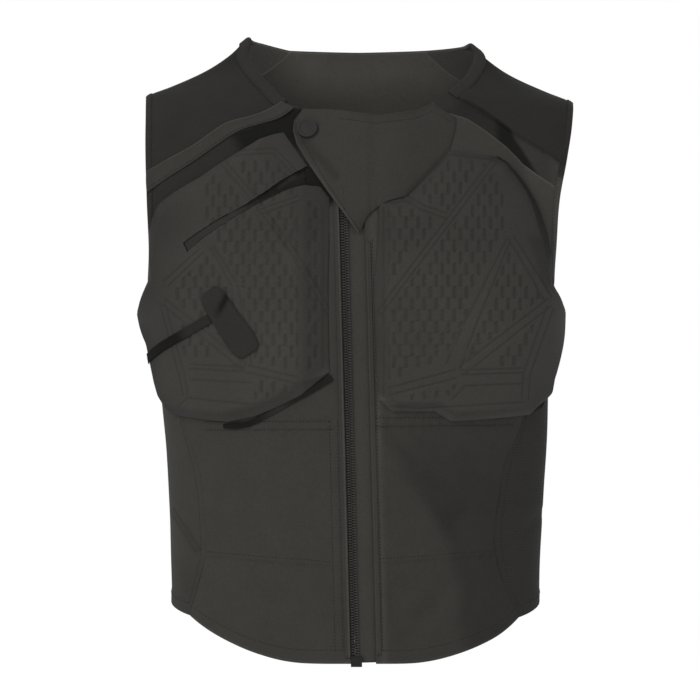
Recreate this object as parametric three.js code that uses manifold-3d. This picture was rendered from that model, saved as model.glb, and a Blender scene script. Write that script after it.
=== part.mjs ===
import * as THREE from 'three';
import Module from 'manifold-3d';

// A sleeveless protective vest, kept in its worn form. Millimetres, Z up.
// X runs to the wearer's left, the front faces -Y, Z = 0 is the top of the shoulders.

const RIGHT = -1;
const LEFT = 1;

const CLOTH = 1.6;
const SEAM_GAP = 0.7;
const LAY_GAP = 0.9;
const LAID = CLOTH + LAY_GAP;
const PAD_SEAT = LAID + 0.5;
const STRIP = 1.2;
const CHART_RADIUS = 170;

const ARMHOLE_TOP = -56;
const ARMHOLE_BOTTOM = -240.4;
const ARMHOLE_CORNER = -228;
const BINDING_WIDTH = 5;
const NECK_BINDING_WIDTH = 11;
const NECK_BINDING_START = { [RIGHT]: 0.085, [LEFT]: 0.06 };

const ZIP_TOP = { x: -16.4, z: -72 };
const ZIP_BOTTOM = { x: -2.6, z: -612 };
const ZIP_RIGHT_EDGE = 5;
const ZIP_LEFT_EDGE = 20;
const ZIP_TEETH_WIDTH = 8;

const PAD_THICKNESS = 15;
const PAD_RIM = 3.5;
const PAD_FACE = PAD_SEAT + PAD_THICKNESS;
const SLIT_DEPTH = { outer: 3.2, inner: 13, from: 120, run: 50 };

const SNAP = { x: -50, z: -90, diameter: 20, height: 4, rim: 3 };

// The form the cloth hangs in: one row for each level section. Above the armpit
// the half width is that of the shoulder with the upper arm, where the armhole is cut.
// lean is how far the middle stands to the wearer's left, and tilt is the drop of the
// shoulders for each millimetre to the left.
const SECTIONS = [
  { z: -630, halfWidth: 183, front: 111, back: 109, squareness: 2.3, lean: -3, tilt: 0 },
  { z: -540, halfWidth: 182, front: 109, back: 103, squareness: 2.35, lean: -2.5, tilt: 0 },
  { z: -460, halfWidth: 185, front: 107, back: 97, squareness: 2.4, lean: -2, tilt: 0 },
  { z: -380, halfWidth: 190, front: 109, back: 98, squareness: 2.4, lean: -2, tilt: 0 },
  { z: -300, halfWidth: 195, front: 114, back: 106, squareness: 2.5, lean: -5.5, tilt: 0 },
  { z: -240, halfWidth: 201, front: 115, back: 112, squareness: 2.6, lean: -7, tilt: 0 },
  { z: -205, halfWidth: 217, front: 113, back: 115, squareness: 2.8, lean: -5.5, tilt: 0 },
  { z: -160, halfWidth: 236, front: 107, back: 115, squareness: 2.9, lean: -5, tilt: 0.004 },
  { z: -110, halfWidth: 241, front: 94, back: 111, squareness: 2.8, lean: -1.5, tilt: 0.011 },
  { z: -75, halfWidth: 231, front: 79, back: 104, squareness: 2.5, lean: 1, tilt: 0.015 },
  { z: -56, halfWidth: 212, front: 69, back: 98, squareness: 2.3, lean: 1.5, tilt: 0.015 },
  { z: -46, halfWidth: 187, front: 63, back: 94, squareness: 2.2, lean: 1, tilt: 0.015 },
  { z: -30, halfWidth: 152, front: 53, back: 87, squareness: 2.1, lean: 0, tilt: 0.015 },
  { z: -14, halfWidth: 128, front: 43, back: 80, squareness: 2.05, lean: 0, tilt: 0.015 },
  { z: 0, halfWidth: 113, front: 36, back: 72, squareness: 2, lean: 0, tilt: 0.015 },
  { z: 12, halfWidth: 98, front: 30, back: 66, squareness: 2, lean: 0, tilt: 0.015 },
];

// Distance of the armhole edge from the middle of its section.
const ARMHOLE = [
  { z: -241, x: 200.6 },
  { z: -228, x: 199.5 },
  { z: -184, x: 199.8 },
  { z: -150, x: 202 },
  { z: -120, x: 205.5 },
  { z: -90, x: 208.5 },
  { z: -56, x: 211 },
];

// Seams and edges. x is measured from the middle toward the side the piece is on;
// rows marked back lie on the rear half.
const HEM_FRONT = [
  { x: 60, z: -611 },
  { x: 97, z: -603 },
  { x: 135, z: -587 },
];
const HEM_SIDE_Z = -556;
const HEM_BACK = [
  { x: 97, z: -586, back: true },
  { x: 0, z: -596, back: true },
  { x: -97, z: -586, back: true },
];

const SIDE_SEAM = {
  [RIGHT]: [
    { x: 165, z: -567 },
    { x: 156, z: -533 },
    { x: 149, z: -507 },
    { x: 150, z: -463 },
    { x: 156, z: -422 },
    { x: 171, z: -373 },
    { x: 186, z: -295 },
  ],
  [LEFT]: [
    { x: 157, z: -569 },
    { x: 142, z: -534 },
    { x: 133, z: -493 },
    { x: 137, z: -448 },
    { x: 145, z: -410 },
    { x: 157, z: -385 },
    { x: 178, z: -295 },
  ],
};
const BACK_SEAM = [
  { x: 160, z: -560, back: true },
  { x: 150, z: -500, back: true },
  { x: 152, z: -430, back: true },
  { x: 170, z: -350, back: true },
  { x: 188, z: -285, back: true },
];

const YOKE_FRONT = {
  [RIGHT]: [
    { x: 45, z: -75 },
    { x: 72, z: -103 },
    { x: 120, z: -130 },
    { x: 155, z: -150 },
  ],
  [LEFT]: [
    { x: 73, z: -61 },
    { x: 84, z: -70.5 },
    { x: 107, z: -77.6 },
    { x: 125, z: -89.6 },
    { x: 146, z: -106 },
    { x: 162, z: -123 },
    { x: 176, z: -133 },
  ],
};
const YOKE_END_Z = { [RIGHT]: -184, [LEFT]: -147 };
const YOKE_BACK_Z = -95;
const YOKE_CUTS = 8;
const NECK_FRONT = {
  [RIGHT]: [
    { x: 45, z: -75 },
    { x: 60, z: -66 },
    { x: 73, z: -59 },
    { x: 87, z: -45 },
    { x: 101, z: -28.5 },
    { x: 109.5, z: -12 },
  ],
  [LEFT]: [
    { x: 73, z: -61 },
    { x: 89, z: -52 },
    { x: 104.4, z: -38.7 },
    { x: 114, z: -23 },
    { x: 117, z: -12 },
  ],
};
const NECK_SIDE = {
  [RIGHT]: { x: 107.4, z: 4.4 },
  [LEFT]: { x: 113.6, z: -0.8 },
};
const NECK_BACK = {
  [RIGHT]: [
    { x: 98, z: 2, back: true },
    { x: 68, z: -4, back: true },
  ],
  [LEFT]: [
    { x: 100, z: -2.5, back: true },
    { x: 68, z: -4, back: true },
  ],
};
const NECK_BACK_MIDDLE_Z = -5;

const TRIM_TOP = [
  { x: 75, z: -62 },
  { x: 89, z: -69.7 },
  { x: 107, z: -76 },
  { x: 131, z: -83 },
  { x: 165, z: -106 },
  { x: 200, z: -126 },
];
const TRIM_LOW = [
  { x: 62.5, z: -68 },
  { x: 76, z: -77.8 },
  { x: 98, z: -84.5 },
  { x: 121, z: -93 },
  { x: 165, z: -123 },
  { x: 197, z: -145 },
];

const FLAP = {
  top: [
    { x: -63, z: -81 },
    { x: -54, z: -69 },
    { x: -13, z: -72 },
    { x: 17, z: -76 },
    { x: 56, z: -71 },
    { x: 73, z: -63 },
    { x: 96, z: -78 },
  ],
  right: [
    { x: 18.5, z: -156.2 },
    { x: 45.6, z: -153.2 },
    { x: 88.6, z: -109.4 },
    { x: 96, z: -78 },
  ],
  low: [
    { x: 0, z: -192 },
    { x: 10, z: -174 },
    { x: 18.5, z: -156.2 },
  ],
  left: [
    { x: 0, z: -192 },
    { x: -10, z: -178 },
    { x: -30, z: -151 },
    { x: -50, z: -121 },
    { x: -63, z: -93 },
    { x: -63, z: -81 },
  ],
};
const FLAP_RAISED = { from: -44, to: 24, run: 18, height: 2 };

// Chest pad outlines, with the width of the sloping flank along each side. past is the
// way round the flank behind its outermost line, and below zero before it.
const PADS = {
  [RIGHT]: {
    low: [
      { x: 28, z: -326 },
      { x: 57, z: -350 },
      { x: 91, z: -371 },
      { x: 126, z: -376 },
      { x: 178, z: -369 },
    ],
    outer: [
      { x: 178, z: -369 },
      { x: 186, z: -353 },
      { past: -40, z: -338 },
      { past: -36, z: -303 },
      { past: 0, z: -265 },
      { past: -28, z: -250 },
      { x: 195.5, z: -225 },
      { x: 195, z: -172 },
    ],
    top: [
      { x: 73, z: -92 },
      { x: 97, z: -100 },
      { x: 155, z: -137 },
      { x: 190, z: -160 },
      { x: 195, z: -172 },
    ],
    inner: [
      { x: 28, z: -326 },
      { x: 28, z: -162 },
      { x: 43, z: -145 },
      { x: 59, z: -110 },
      { x: 73, z: -92 },
    ],
    flank: { low: 14, outer: 12, top: 12, inner: 26 },
  },
  [LEFT]: {
    low: [
      { x: 20, z: -353 },
      { x: 33, z: -365 },
      { x: 74, z: -365 },
      { x: 90, z: -375 },
      { x: 166, z: -369 },
      { x: 171, z: -362 },
    ],
    outer: [
      { x: 171, z: -362 },
      { x: 180, z: -353 },
      { past: -40, z: -338 },
      { past: -22, z: -303 },
      { past: 2, z: -263 },
      { past: -28, z: -250 },
      { x: 185, z: -228, flank: 13 },
      { x: 185, z: -200, flank: 13 },
      { x: 179.5, z: -178, flank: 10 },
      { x: 166, z: -148, flank: 7 },
      { x: 139, z: -116, flank: 6 },
    ],
    top: [
      { x: 20, z: -162 },
      { x: 46, z: -157 },
      { x: 89, z: -111 },
      { x: 139, z: -116 },
    ],
    inner: [
      { x: 20, z: -353 },
      { x: 20, z: -162 },
    ],
    flank: { low: 12, outer: 12, top: 14, inner: 10 },
  },
};

// Rows on the face of the right pad, as they are seen from the front.
const SLIT_TOP = [
  { x: 171, z: -200 },
  { x: 110, z: -163 },
  { x: 46, z: -123 },
];
const SLIT_LOW = [
  { x: 167, z: -209 },
  { x: 152, z: -196 },
  { x: 101, z: -164 },
  { x: 54, z: -144 },
  { x: 38, z: -144 },
];
const SLIT_INSERT_END = 34;

const SIDE_STRAP_FOOT = { past: -49, z: -310.5 };
const SIDE_STRAP = [
  { x: 196, z: -304 },
  { x: 172, z: -290 },
  { x: 145.9, z: -275 },
];
const LOWER_STRAP = [
  { x: 27, z: -331.5 },
  { x: 58, z: -357 },
  { x: 92, z: -377 },
  { x: 128, z: -382 },
];
const STRAP_WIDTH = 9.5;
const LOWER_STRAP_WIDTH = 7;
const TAB_AXIS = [
  { x: 146, z: -247 },
  { x: 133, z: -268 },
  { x: 105, z: -308 },
];
const TAB_PROFILE = [
  { along: 0, halfWidth: 7, bend: 0.6 },
  { along: 0.06, halfWidth: 11.3, bend: 0.6 },
  { along: 0.2, halfWidth: 13.4, bend: 0 },
  { along: 0.5, halfWidth: 14, bend: 0.2 },
  { along: 0.9, halfWidth: 13.4, bend: 0.4 },
  { along: 0.97, halfWidth: 11.2, bend: 0.4 },
  { along: 1, halfWidth: 8, bend: 0.4 },
];
const TAB_THICKNESS = 2.5;

// Folds of the lower front, each a soft ridge or hollow along a line.
const FOLDS = [
  { x: 20, z: -387, toX: 96, toZ: -470, width: 13, rise: -4.2 },
  { x: 96, z: -470, toX: 104, toZ: -524, width: 14, rise: -3.2 },
  { x: 44, z: -400, toX: 116, toZ: -450, width: 15, rise: 4 },
  { x: 24, z: -520, toX: 34, toZ: -566, width: 9, rise: -2.5 },
  { x: 90, z: -538, toX: 46, toZ: -589, width: 11, rise: -3.6 },
  { x: 118, z: -536, toX: 106, toZ: -573, width: 10, rise: -2.5 },
  { x: -60, z: -430, toX: -80, toZ: -500, width: 24, rise: 1.5 },
  { x: -120, z: -520, toX: -100, toZ: -580, width: 18, rise: 1.2 },
];

const FOLDS_CLEAR_OF_ZIP = { from: 28, run: 16 };

const FINISH = {
  main: { color: 0x393835, roughness: 0.9, metalness: 0 },
  knit: { color: 0x2f2e2c, roughness: 0.95, metalness: 0 },
  pad: { color: 0x363532, roughness: 0.85, metalness: 0 },
  webbing: { color: 0x201f1e, roughness: 0.9, metalness: 0 },
  zip: { color: 0x2b2a28, roughness: 0.5, metalness: 0 },
  cap: { color: 0x33322f, roughness: 0.55, metalness: 0.2 },
};

// Smooth value of one column of a table of rows sorted by z.
function columnAt(rows, name, z) {
  const last = rows.length - 1;
  const slope = (i) => {
    const a = rows[Math.max(i - 1, 0)];
    const b = rows[Math.min(i + 1, last)];
    if (i === 0 || i === last) {
      return (b[name] - a[name]) / (b.z - a.z);
    }
    const before = rows[i].z - a.z;
    const after = b.z - rows[i].z;
    const rise = before ** 2 * b[name] + (after ** 2 - before ** 2) * rows[i][name] - after ** 2 * a[name];
    return rise / (before * after * (before + after));
  };
  let i = 0;
  while (i < last - 1 && rows[i + 1].z < z) {
    i += 1;
  }
  const h = rows[i + 1].z - rows[i].z;
  const t = Math.min(Math.max((z - rows[i].z) / h, 0), 1);
  const start = (2 * t ** 3 - 3 * t ** 2 + 1) * rows[i][name] + (t ** 3 - 2 * t ** 2 + t) * h * slope(i);
  const end = (3 * t ** 2 - 2 * t ** 3) * rows[i + 1][name] + (t ** 3 - t ** 2) * h * slope(i + 1);
  return start + end;
}

function sectionAt(z) {
  return {
    halfWidth: columnAt(SECTIONS, 'halfWidth', z),
    front: columnAt(SECTIONS, 'front', z),
    back: columnAt(SECTIONS, 'back', z),
    n: columnAt(SECTIONS, 'squareness', z),
    lean: columnAt(SECTIONS, 'lean', z),
    tilt: columnAt(SECTIONS, 'tilt', z),
  };
}

// The chart is the cloth laid flat: girth round the body from the front middle, and height.
// Its rows are measured from the middle of the section, before lean and tilt.
function upright(side, row) {
  const s = sectionAt(row.z);
  if (row.past !== undefined) {
    const angle = Math.PI / 2 + row.past / (row.past > 0 ? s.back : s.front);
    return new THREE.Vector2(side * angle * CHART_RADIUS, row.z);
  }
  const across = Math.min(Math.abs(row.x) / s.halfWidth, 1);
  const ahead = Math.max(1 - across ** s.n, 0) ** (1 / s.n);
  const turn = Math.sign(row.x) * Math.atan2(across, ahead);
  const angle = row.back ? Math.PI - turn : turn;
  return new THREE.Vector2(side * angle * CHART_RADIUS, row.z);
}

function chart(side, row) {
  const z = row.z + sectionAt(row.z).tilt * side * (row.x ?? 0);
  return upright(side, { ...row, x: row.x - side * sectionAt(z).lean, z });
}

const charted = (side, rows) => rows.map((row) => chart(side, row));

function onBody(p) {
  const s = sectionAt(p.y);
  const angle = p.x / CHART_RADIUS;
  const sine = Math.sin(angle);
  const cosine = Math.cos(angle);
  const reach = (Math.abs(sine) ** s.n + Math.abs(cosine) ** s.n) ** (-1 / s.n);
  const depth = cosine > 0 ? s.front : s.back;
  const x = s.lean + s.halfWidth * sine * reach;
  return new THREE.Vector3(x, -depth * cosine * reach, p.y - s.tilt * x);
}

function outwardAt(p) {
  const level = (x, y, z) => {
    const s = sectionAt(z + sectionAt(z).tilt * x);
    const depth = y < 0 ? s.front : s.back;
    return (Math.abs((x - s.lean) / s.halfWidth) ** s.n + Math.abs(y / depth) ** s.n) ** (1 / s.n);
  };
  const d = 0.5;
  return new THREE.Vector3(
    level(p.x + d, p.y, p.z) - level(p.x - d, p.y, p.z),
    level(p.x, p.y + d, p.z) - level(p.x, p.y - d, p.z),
    level(p.x, p.y, p.z + d) - level(p.x, p.y, p.z - d),
  ).normalize();
}

function lay(p, height) {
  const base = onBody(p);
  return base.addScaledVector(outwardAt(base), height);
}

// Chart places of rows that are seen from the front on a face at a height over the body.
function chartedAt(side, rows, height) {
  return rows.map((row) => {
    const aim = { ...row };
    for (let i = 0; i < 8; i += 1) {
      const p = lay(chart(side, aim), height);
      aim.x += row.x - side * p.x;
      aim.z += row.z - p.z;
    }
    return chart(side, aim);
  });
}

function foldRise(p) {
  const at = onBody(p);
  if (at.y > 0) {
    return 0;
  }
  let rise = 0;
  for (const fold of FOLDS) {
    const line = new THREE.Vector2(fold.toX - fold.x, fold.toZ - fold.z);
    const from = new THREE.Vector2(at.x - fold.x, at.z - fold.z);
    const along = from.dot(line) / line.lengthSq();
    const off = from.cross(line) / line.length();
    const past = Math.max(-along, along - 1, 0) * line.length();
    rise += fold.rise * Math.exp(-((off ** 2 + past ** 2) / fold.width ** 2));
  }
  const clear = Math.abs(at.x - zipX(at.z)) - FOLDS_CLEAR_OF_ZIP.from;
  return rise * THREE.MathUtils.smoothstep(clear, 0, FOLDS_CLEAR_OF_ZIP.run);
}

// A closed mesh from points and triangles, turned so that its faces look outward.
function solid(points, triangles) {
  let volume = 0;
  for (const [a, b, c] of triangles) {
    volume += points[a].dot(points[b].clone().cross(points[c]));
  }
  const index = volume > 0 ? triangles : triangles.map(([a, b, c]) => [a, c, b]);
  const geometry = new THREE.BufferGeometry();
  geometry.setAttribute('position', new THREE.Float32BufferAttribute(points.flatMap((p) => p.toArray()), 3));
  geometry.setIndex(index.flat());
  geometry.computeVertexNormals();
  return geometry;
}

// A sheet of cloth: two skins over the same net of lines, closed round the rim.
function sheet(us, vs, at, low, high) {
  const points = [];
  for (const height of [low, high]) {
    for (const v of vs) {
      for (const u of us) {
        const p = at(u, v);
        points.push(lay(p, height(p)));
      }
    }
  }
  const nu = us.length;
  const nv = vs.length;
  const id = (skin, i, j) => (skin * nv + j) * nu + i;
  const triangles = [];
  const quad = (a, b, c, d) => triangles.push([a, b, c], [a, c, d]);
  const span = (a, b) => points[a].distanceToSquared(points[b]);
  for (let j = 0; j < nv - 1; j += 1) {
    for (let i = 0; i < nu - 1; i += 1) {
      const ring = (skin) => [id(skin, i, j), id(skin, i + 1, j), id(skin, i + 1, j + 1), id(skin, i, j + 1)];
      const [a, b, c, d] = ring(1);
      const [e, f, g, h] = ring(0);
      if (span(a, c) > span(b, d)) {
        quad(b, c, d, a);
        quad(h, g, f, e);
      } else {
        quad(a, b, c, d);
        quad(e, h, g, f);
      }
    }
  }
  for (let i = 0; i < nu - 1; i += 1) {
    quad(id(0, i, 0), id(0, i + 1, 0), id(1, i + 1, 0), id(1, i, 0));
    quad(id(0, i + 1, nv - 1), id(0, i, nv - 1), id(1, i, nv - 1), id(1, i + 1, nv - 1));
  }
  for (let j = 0; j < nv - 1; j += 1) {
    quad(id(0, 0, j + 1), id(0, 0, j), id(1, 0, j), id(1, 0, j + 1));
    quad(id(0, nu - 1, j), id(0, nu - 1, j + 1), id(1, nu - 1, j + 1), id(1, nu - 1, j));
  }
  return solid(points, triangles);
}

// A strip along a line on the chart; each row gives its two edges and its two heights.
function ribbon(line, rowAt, count, closed = false) {
  const points = [];
  const rings = closed ? count : count + 1;
  for (let i = 0; i < rings; i += 1) {
    const t = i / count;
    const here = lay(line(t), 0);
    const step = 0.002;
    const ahead = lay(line(closed ? (t + step) % 1 : Math.min(t + step, 1)), 0);
    const behind = lay(line(closed ? (t - step + 1) % 1 : Math.max(t - step, 0)), 0);
    const up = outwardAt(here);
    const across = up.clone().cross(ahead.sub(behind)).normalize();
    const row = rowAt(t, line(t));
    const corners = [[row.from, row.low], [row.to, row.low], [row.to, row.high], [row.from, row.high]];
    for (const [offset, height] of corners) {
      points.push(here.clone().addScaledVector(across, offset).addScaledVector(up, height));
    }
  }
  const triangles = [];
  const spans = closed ? rings : rings - 1;
  for (let i = 0; i < spans; i += 1) {
    const a = i * 4;
    const b = ((i + 1) % rings) * 4;
    for (let k = 0; k < 4; k += 1) {
      const m = (k + 1) % 4;
      triangles.push([a + k, b + k, b + m], [a + k, b + m, a + m]);
    }
  }
  if (!closed) {
    const e = (rings - 1) * 4;
    triangles.push([0, 1, 2], [0, 2, 3], [e, e + 2, e + 1], [e, e + 3, e + 2]);
  }
  return solid(points, triangles);
}

// A turned piece standing on the cloth at one place, from rows of radius and height.
function turned(place, rows, count) {
  const seat = onBody(place);
  const up = outwardAt(seat);
  const right = new THREE.Vector3(0, 0, 1).cross(up).normalize();
  const ahead = up.clone().cross(right);
  const at = (radius, height, angle) => seat.clone()
    .addScaledVector(up, height)
    .addScaledVector(right, radius * Math.cos(angle))
    .addScaledVector(ahead, radius * Math.sin(angle));
  const points = [at(0, rows[0].height, 0), at(0, rows[rows.length - 1].height, 0)];
  for (const row of rows) {
    for (let k = 0; k < count; k += 1) {
      points.push(at(row.radius, row.height, (2 * Math.PI * k) / count));
    }
  }
  const id = (r, k) => 2 + r * count + (k % count);
  const triangles = [];
  for (let k = 0; k < count; k += 1) {
    triangles.push([0, id(0, k + 1), id(0, k)]);
    triangles.push([1, id(rows.length - 1, k), id(rows.length - 1, k + 1)]);
    for (let r = 0; r < rows.length - 1; r += 1) {
      triangles.push([id(r, k), id(r, k + 1), id(r + 1, k + 1)], [id(r, k), id(r + 1, k + 1), id(r + 1, k)]);
    }
  }
  return solid(points, triangles);
}

// A line on the chart through given points, walked by its length.
function walk(points) {
  const lengths = [0];
  for (let i = 1; i < points.length; i += 1) {
    lengths.push(lengths[i - 1] + points[i].distanceTo(points[i - 1]));
  }
  const total = lengths[lengths.length - 1];
  const line = (t) => {
    const reach = Math.min(Math.max(t, 0), 1) * total;
    let i = 0;
    while (i < points.length - 2 && lengths[i + 1] < reach) {
      i += 1;
    }
    const share = (reach - lengths[i]) / (lengths[i + 1] - lengths[i]);
    return points[i].clone().lerp(points[i + 1], share);
  };
  line.marks = lengths.map((length) => length / total);
  line.total = total;
  return line;
}

const rounded = (points) => new THREE.SplineCurve(points).getSpacedPoints(28);

// Evenly spread lines from 0 to 1, the nearest one moved onto each mark.
function netLines(count, marks = []) {
  const lines = Array.from({ length: count + 1 }, (_, i) => i / count);
  for (const mark of marks) {
    const nearest = Math.min(Math.max(Math.round(mark * count), 1), count - 1);
    lines[nearest] = mark;
  }
  return lines;
}

// Lines spread evenly between each mark and the next, a given number of spaces each.
function spread(marks, counts) {
  const lines = [0];
  counts.forEach((count, k) => {
    for (let i = 1; i <= count; i += 1) {
      lines.push(marks[k] + ((marks[k + 1] - marks[k]) * i) / count);
    }
  });
  return lines;
}

// The net between four edges of the chart, drawn in by half the seam gap on every side.
function between(low, top, start, end, gap = SEAM_GAP) {
  const insetU = gap / (low.total + top.total);
  const insetV = gap / (start.total + end.total);
  return (s, t) => {
    const u = insetU + s * (1 - 2 * insetU);
    const v = insetV + t * (1 - 2 * insetV);
    const p = new THREE.Vector2();
    p.addScaledVector(low(u), 1 - v).addScaledVector(top(u), v);
    p.addScaledVector(start(v), 1 - u).addScaledVector(end(v), u);
    p.addScaledVector(low(0), -(1 - u) * (1 - v)).addScaledVector(low(1), -u * (1 - v));
    p.addScaledVector(top(0), -(1 - u) * v).addScaledVector(top(1), -u * v);
    return p;
  };
}

function armholePoint(side, turn) {
  const middle = (ARMHOLE_TOP + ARMHOLE_BOTTOM) / 2;
  const half = (ARMHOLE_TOP - ARMHOLE_BOTTOM) / 2;
  const z = middle + half * Math.cos(2 * Math.PI * turn);
  const edge = { x: columnAt(ARMHOLE, 'x', z), z, back: turn > 0.5 };
  if (turn === 0 || turn === 0.5) {
    edge.x = sectionAt(z).halfWidth;
  }
  return upright(side, edge);
}

function armholeTurn(z, back = false) {
  const middle = (ARMHOLE_TOP + ARMHOLE_BOTTOM) / 2;
  const half = (ARMHOLE_TOP - ARMHOLE_BOTTOM) / 2;
  const turn = Math.acos((z - middle) / half) / (2 * Math.PI);
  return back ? 1 - turn : turn;
}

function armholeRun(side, from, to, count = 10) {
  return Array.from({ length: count + 1 }, (_, i) => {
    const turn = from + ((to - from) * i) / count;
    return armholePoint(side, (turn + 1) % 1);
  });
}

const armholeAt = (side, z, back) => armholePoint(side, armholeTurn(z, back));
const sideSeam = (side) => rounded([...charted(side, SIDE_SEAM[side]), armholeAt(side, ARMHOLE_CORNER)]);
const backRows = (side) => BACK_SEAM.map((row) => upright(side, row));
const backSeam = (side) => rounded([...backRows(side), armholeAt(side, ARMHOLE_CORNER, true)]);
const yokeSeam = (side) => [...charted(side, YOKE_FRONT[side]), armholeAt(side, YOKE_END_Z[side])];

const zipX = (z) => {
  const share = (z - ZIP_TOP.z) / (ZIP_BOTTOM.z - ZIP_TOP.z);
  return ZIP_TOP.x + (ZIP_BOTTOM.x - ZIP_TOP.x) * share;
};

const zipRow = (z, offset) => ({ x: zipX(z) + offset, z });
const flat = (height) => () => height;
const clothIn = (p) => foldRise(p);
const clothOut = (p) => foldRise(p) + CLOTH;

function frontPanel(side) {
  const offset = side === RIGHT ? -ZIP_RIGHT_EDGE : ZIP_LEFT_EDGE;
  const topZ = -82;
  const foot = zipRow(ZIP_BOTTOM.z, offset);
  const head = zipRow(topZ, offset);
  const seamLine = sideSeam(side);
  const sided = (row) => chart(1, row);
  const low = walk(rounded([sided(foot), ...charted(side, HEM_FRONT), seamLine[0]]));
  const under = side === RIGHT ? [] : [{ x: 58, z: -78 }];
  const top = walk([sided(head), ...charted(side, under), ...yokeSeam(side)]);
  const rows = Array.from({ length: 21 }, (_, i) => zipRow(foot.z + ((head.z - foot.z) * i) / 20, offset));
  const start = walk(rows.map(sided));
  const rim = armholeRun(side, armholeTurn(ARMHOLE_CORNER), armholeTurn(YOKE_END_Z[side]));
  const end = walk([...seamLine.slice(0, -1), ...rim]);
  const corner = end.marks[seamLine.length - 1];
  const net = between(low, top, start, end);
  const marks = [...top.marks.slice(0, under.length + 2), 1];
  const us = spread(marks, side === RIGHT ? [2, YOKE_CUTS] : [3, 1, YOKE_CUTS]);
  return sheet(us, netLines(20, [corner]), net, clothIn, clothOut);
}

function sidePanel(side) {
  const front = walk(sideSeam(side));
  const rear = walk(backSeam(side));
  const middle = upright(side, { past: 0, z: HEM_SIDE_Z });
  const low = walk(rounded([front(0), middle, rear(0)]));
  const top = walk(armholeRun(side, armholeTurn(ARMHOLE_CORNER), armholeTurn(ARMHOLE_CORNER, true)));
  return sheet(netLines(8), netLines(16), between(low, top, front, rear), flat(0), flat(CLOTH));
}

function backPanel() {
  const full = (points) => points.map((p) => new THREE.Vector2(
    p.x < 0 ? p.x + 2 * Math.PI * CHART_RADIUS : p.x,
    p.y,
  ));
  const seam = (side) => {
    const line = backSeam(side);
    const rim = armholeRun(side, armholeTurn(ARMHOLE_CORNER, true), armholeTurn(YOKE_BACK_Z, true));
    return walk(full([...line.slice(0, -1), ...rim]));
  };
  const start = seam(LEFT);
  const end = seam(RIGHT);
  const low = walk(rounded([start(0), ...charted(LEFT, HEM_BACK), end(0)]));
  const neck = NECK_BACK[LEFT][NECK_BACK[LEFT].length - 1];
  const other = { x: -neck.x, z: neck.z, back: true };
  const middle = { x: 0, z: NECK_BACK_MIDDLE_Z, back: true };
  const top = walk([start(1), ...charted(LEFT, [neck, middle, other]), end(1)]);
  const us = spread([0, top.marks[1], top.marks[3], 1], [YOKE_CUTS, 6, YOKE_CUTS]);
  return sheet(us, netLines(20), between(low, top, start, end), flat(0), flat(CLOTH));
}

const neckRows = (side) => [...NECK_FRONT[side], NECK_SIDE[side], ...NECK_BACK[side]];
const neckLine = (side) => walk(rounded(charted(side, neckRows(side))));

function yoke(side) {
  const start = neckLine(side);
  const end = walk(armholeRun(side, armholeTurn(YOKE_END_Z[side]), armholeTurn(YOKE_BACK_Z, true) - 1, 16));
  const low = walk(yokeSeam(side));
  const top = walk([start(1), end(1)]);
  return sheet(netLines(YOKE_CUTS), netLines(18), between(low, top, start, end), flat(0), flat(CLOTH));
}

function shoulderTrim(side) {
  const low = walk(rounded(charted(side, TRIM_LOW)));
  const top = walk(rounded(charted(side, TRIM_TOP)));
  const net = between(low, top, walk([low(0), top(0)]), walk([low(1), top(1)]));
  return sheet(netLines(12), netLines(2), net, flat(LAID), flat(LAID + CLOTH));
}

function toSegment(p, a, b) {
  const line = b.clone().sub(a);
  const share = Math.min(Math.max(p.clone().sub(a).dot(line) / line.lengthSq(), 0), 1);
  return p.distanceTo(a.clone().addScaledVector(line, share));
}

// Height of a pad's outer face over the body, sloping down to its rim.
function padTop(side) {
  const pad = PADS[side];
  const segments = [];
  for (const name of ['low', 'outer', 'top', 'inner']) {
    const points = charted(side, pad[name]);
    for (let i = 1; i < points.length; i += 1) {
      segments.push({ a: points[i - 1], b: points[i], flank: pad[name][i].flank ?? pad.flank[name] });
    }
  }
  return (p) => {
    const rise = Math.min(1, ...segments.map((s) => toSegment(p, s.a, s.b) / s.flank));
    return PAD_SEAT + PAD_RIM + (PAD_THICKNESS - PAD_RIM) * rise;
  };
}

function chestPad(side) {
  const pad = PADS[side];
  const line = (name) => walk(charted(side, pad[name]));
  const [low, outer, top, inner] = ['low', 'outer', 'top', 'inner'].map(line);
  const net = between(low, top, inner, outer);
  const bends = side === LEFT ? top.marks.slice(1, -1) : [];
  const us = netLines(14, [pad.flank.inner / low.total, 1 - pad.flank.outer / low.total, ...bends]);
  const vs = netLines(16, [pad.flank.low / outer.total, 1 - pad.flank.top / outer.total]);
  return sheet(us, vs, net, flat(PAD_SEAT), padTop(side));
}

function slitNet(endCut) {
  const low = walk(chartedAt(RIGHT, SLIT_LOW, PAD_FACE));
  const top = walk(chartedAt(RIGHT, SLIT_TOP, PAD_FACE));
  const share = 1 - endCut / low.total;
  const cut = (line) => {
    const part = (t) => line(t * share);
    part.total = line.total * share;
    return part;
  };
  const lowPart = cut(low);
  const topPart = cut(top);
  const start = walk([lowPart(0), topPart(0)]);
  const end = walk([lowPart(1), topPart(1)]);
  return (gap) => between(lowPart, topPart, start, end, gap);
}

function snapRows() {
  const r = SNAP.diameter / 2;
  const base = LAID + CLOTH + 0.8;
  return [
    { radius: r - 0.6, height: base },
    { radius: r, height: base + 1 },
    { radius: r, height: base + SNAP.height - 1 },
    { radius: r - 1, height: base + SNAP.height },
    { radius: r - SNAP.rim + 0.6, height: base + SNAP.height },
    { radius: r - SNAP.rim, height: base + SNAP.height - 0.9 },
  ];
}

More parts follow.
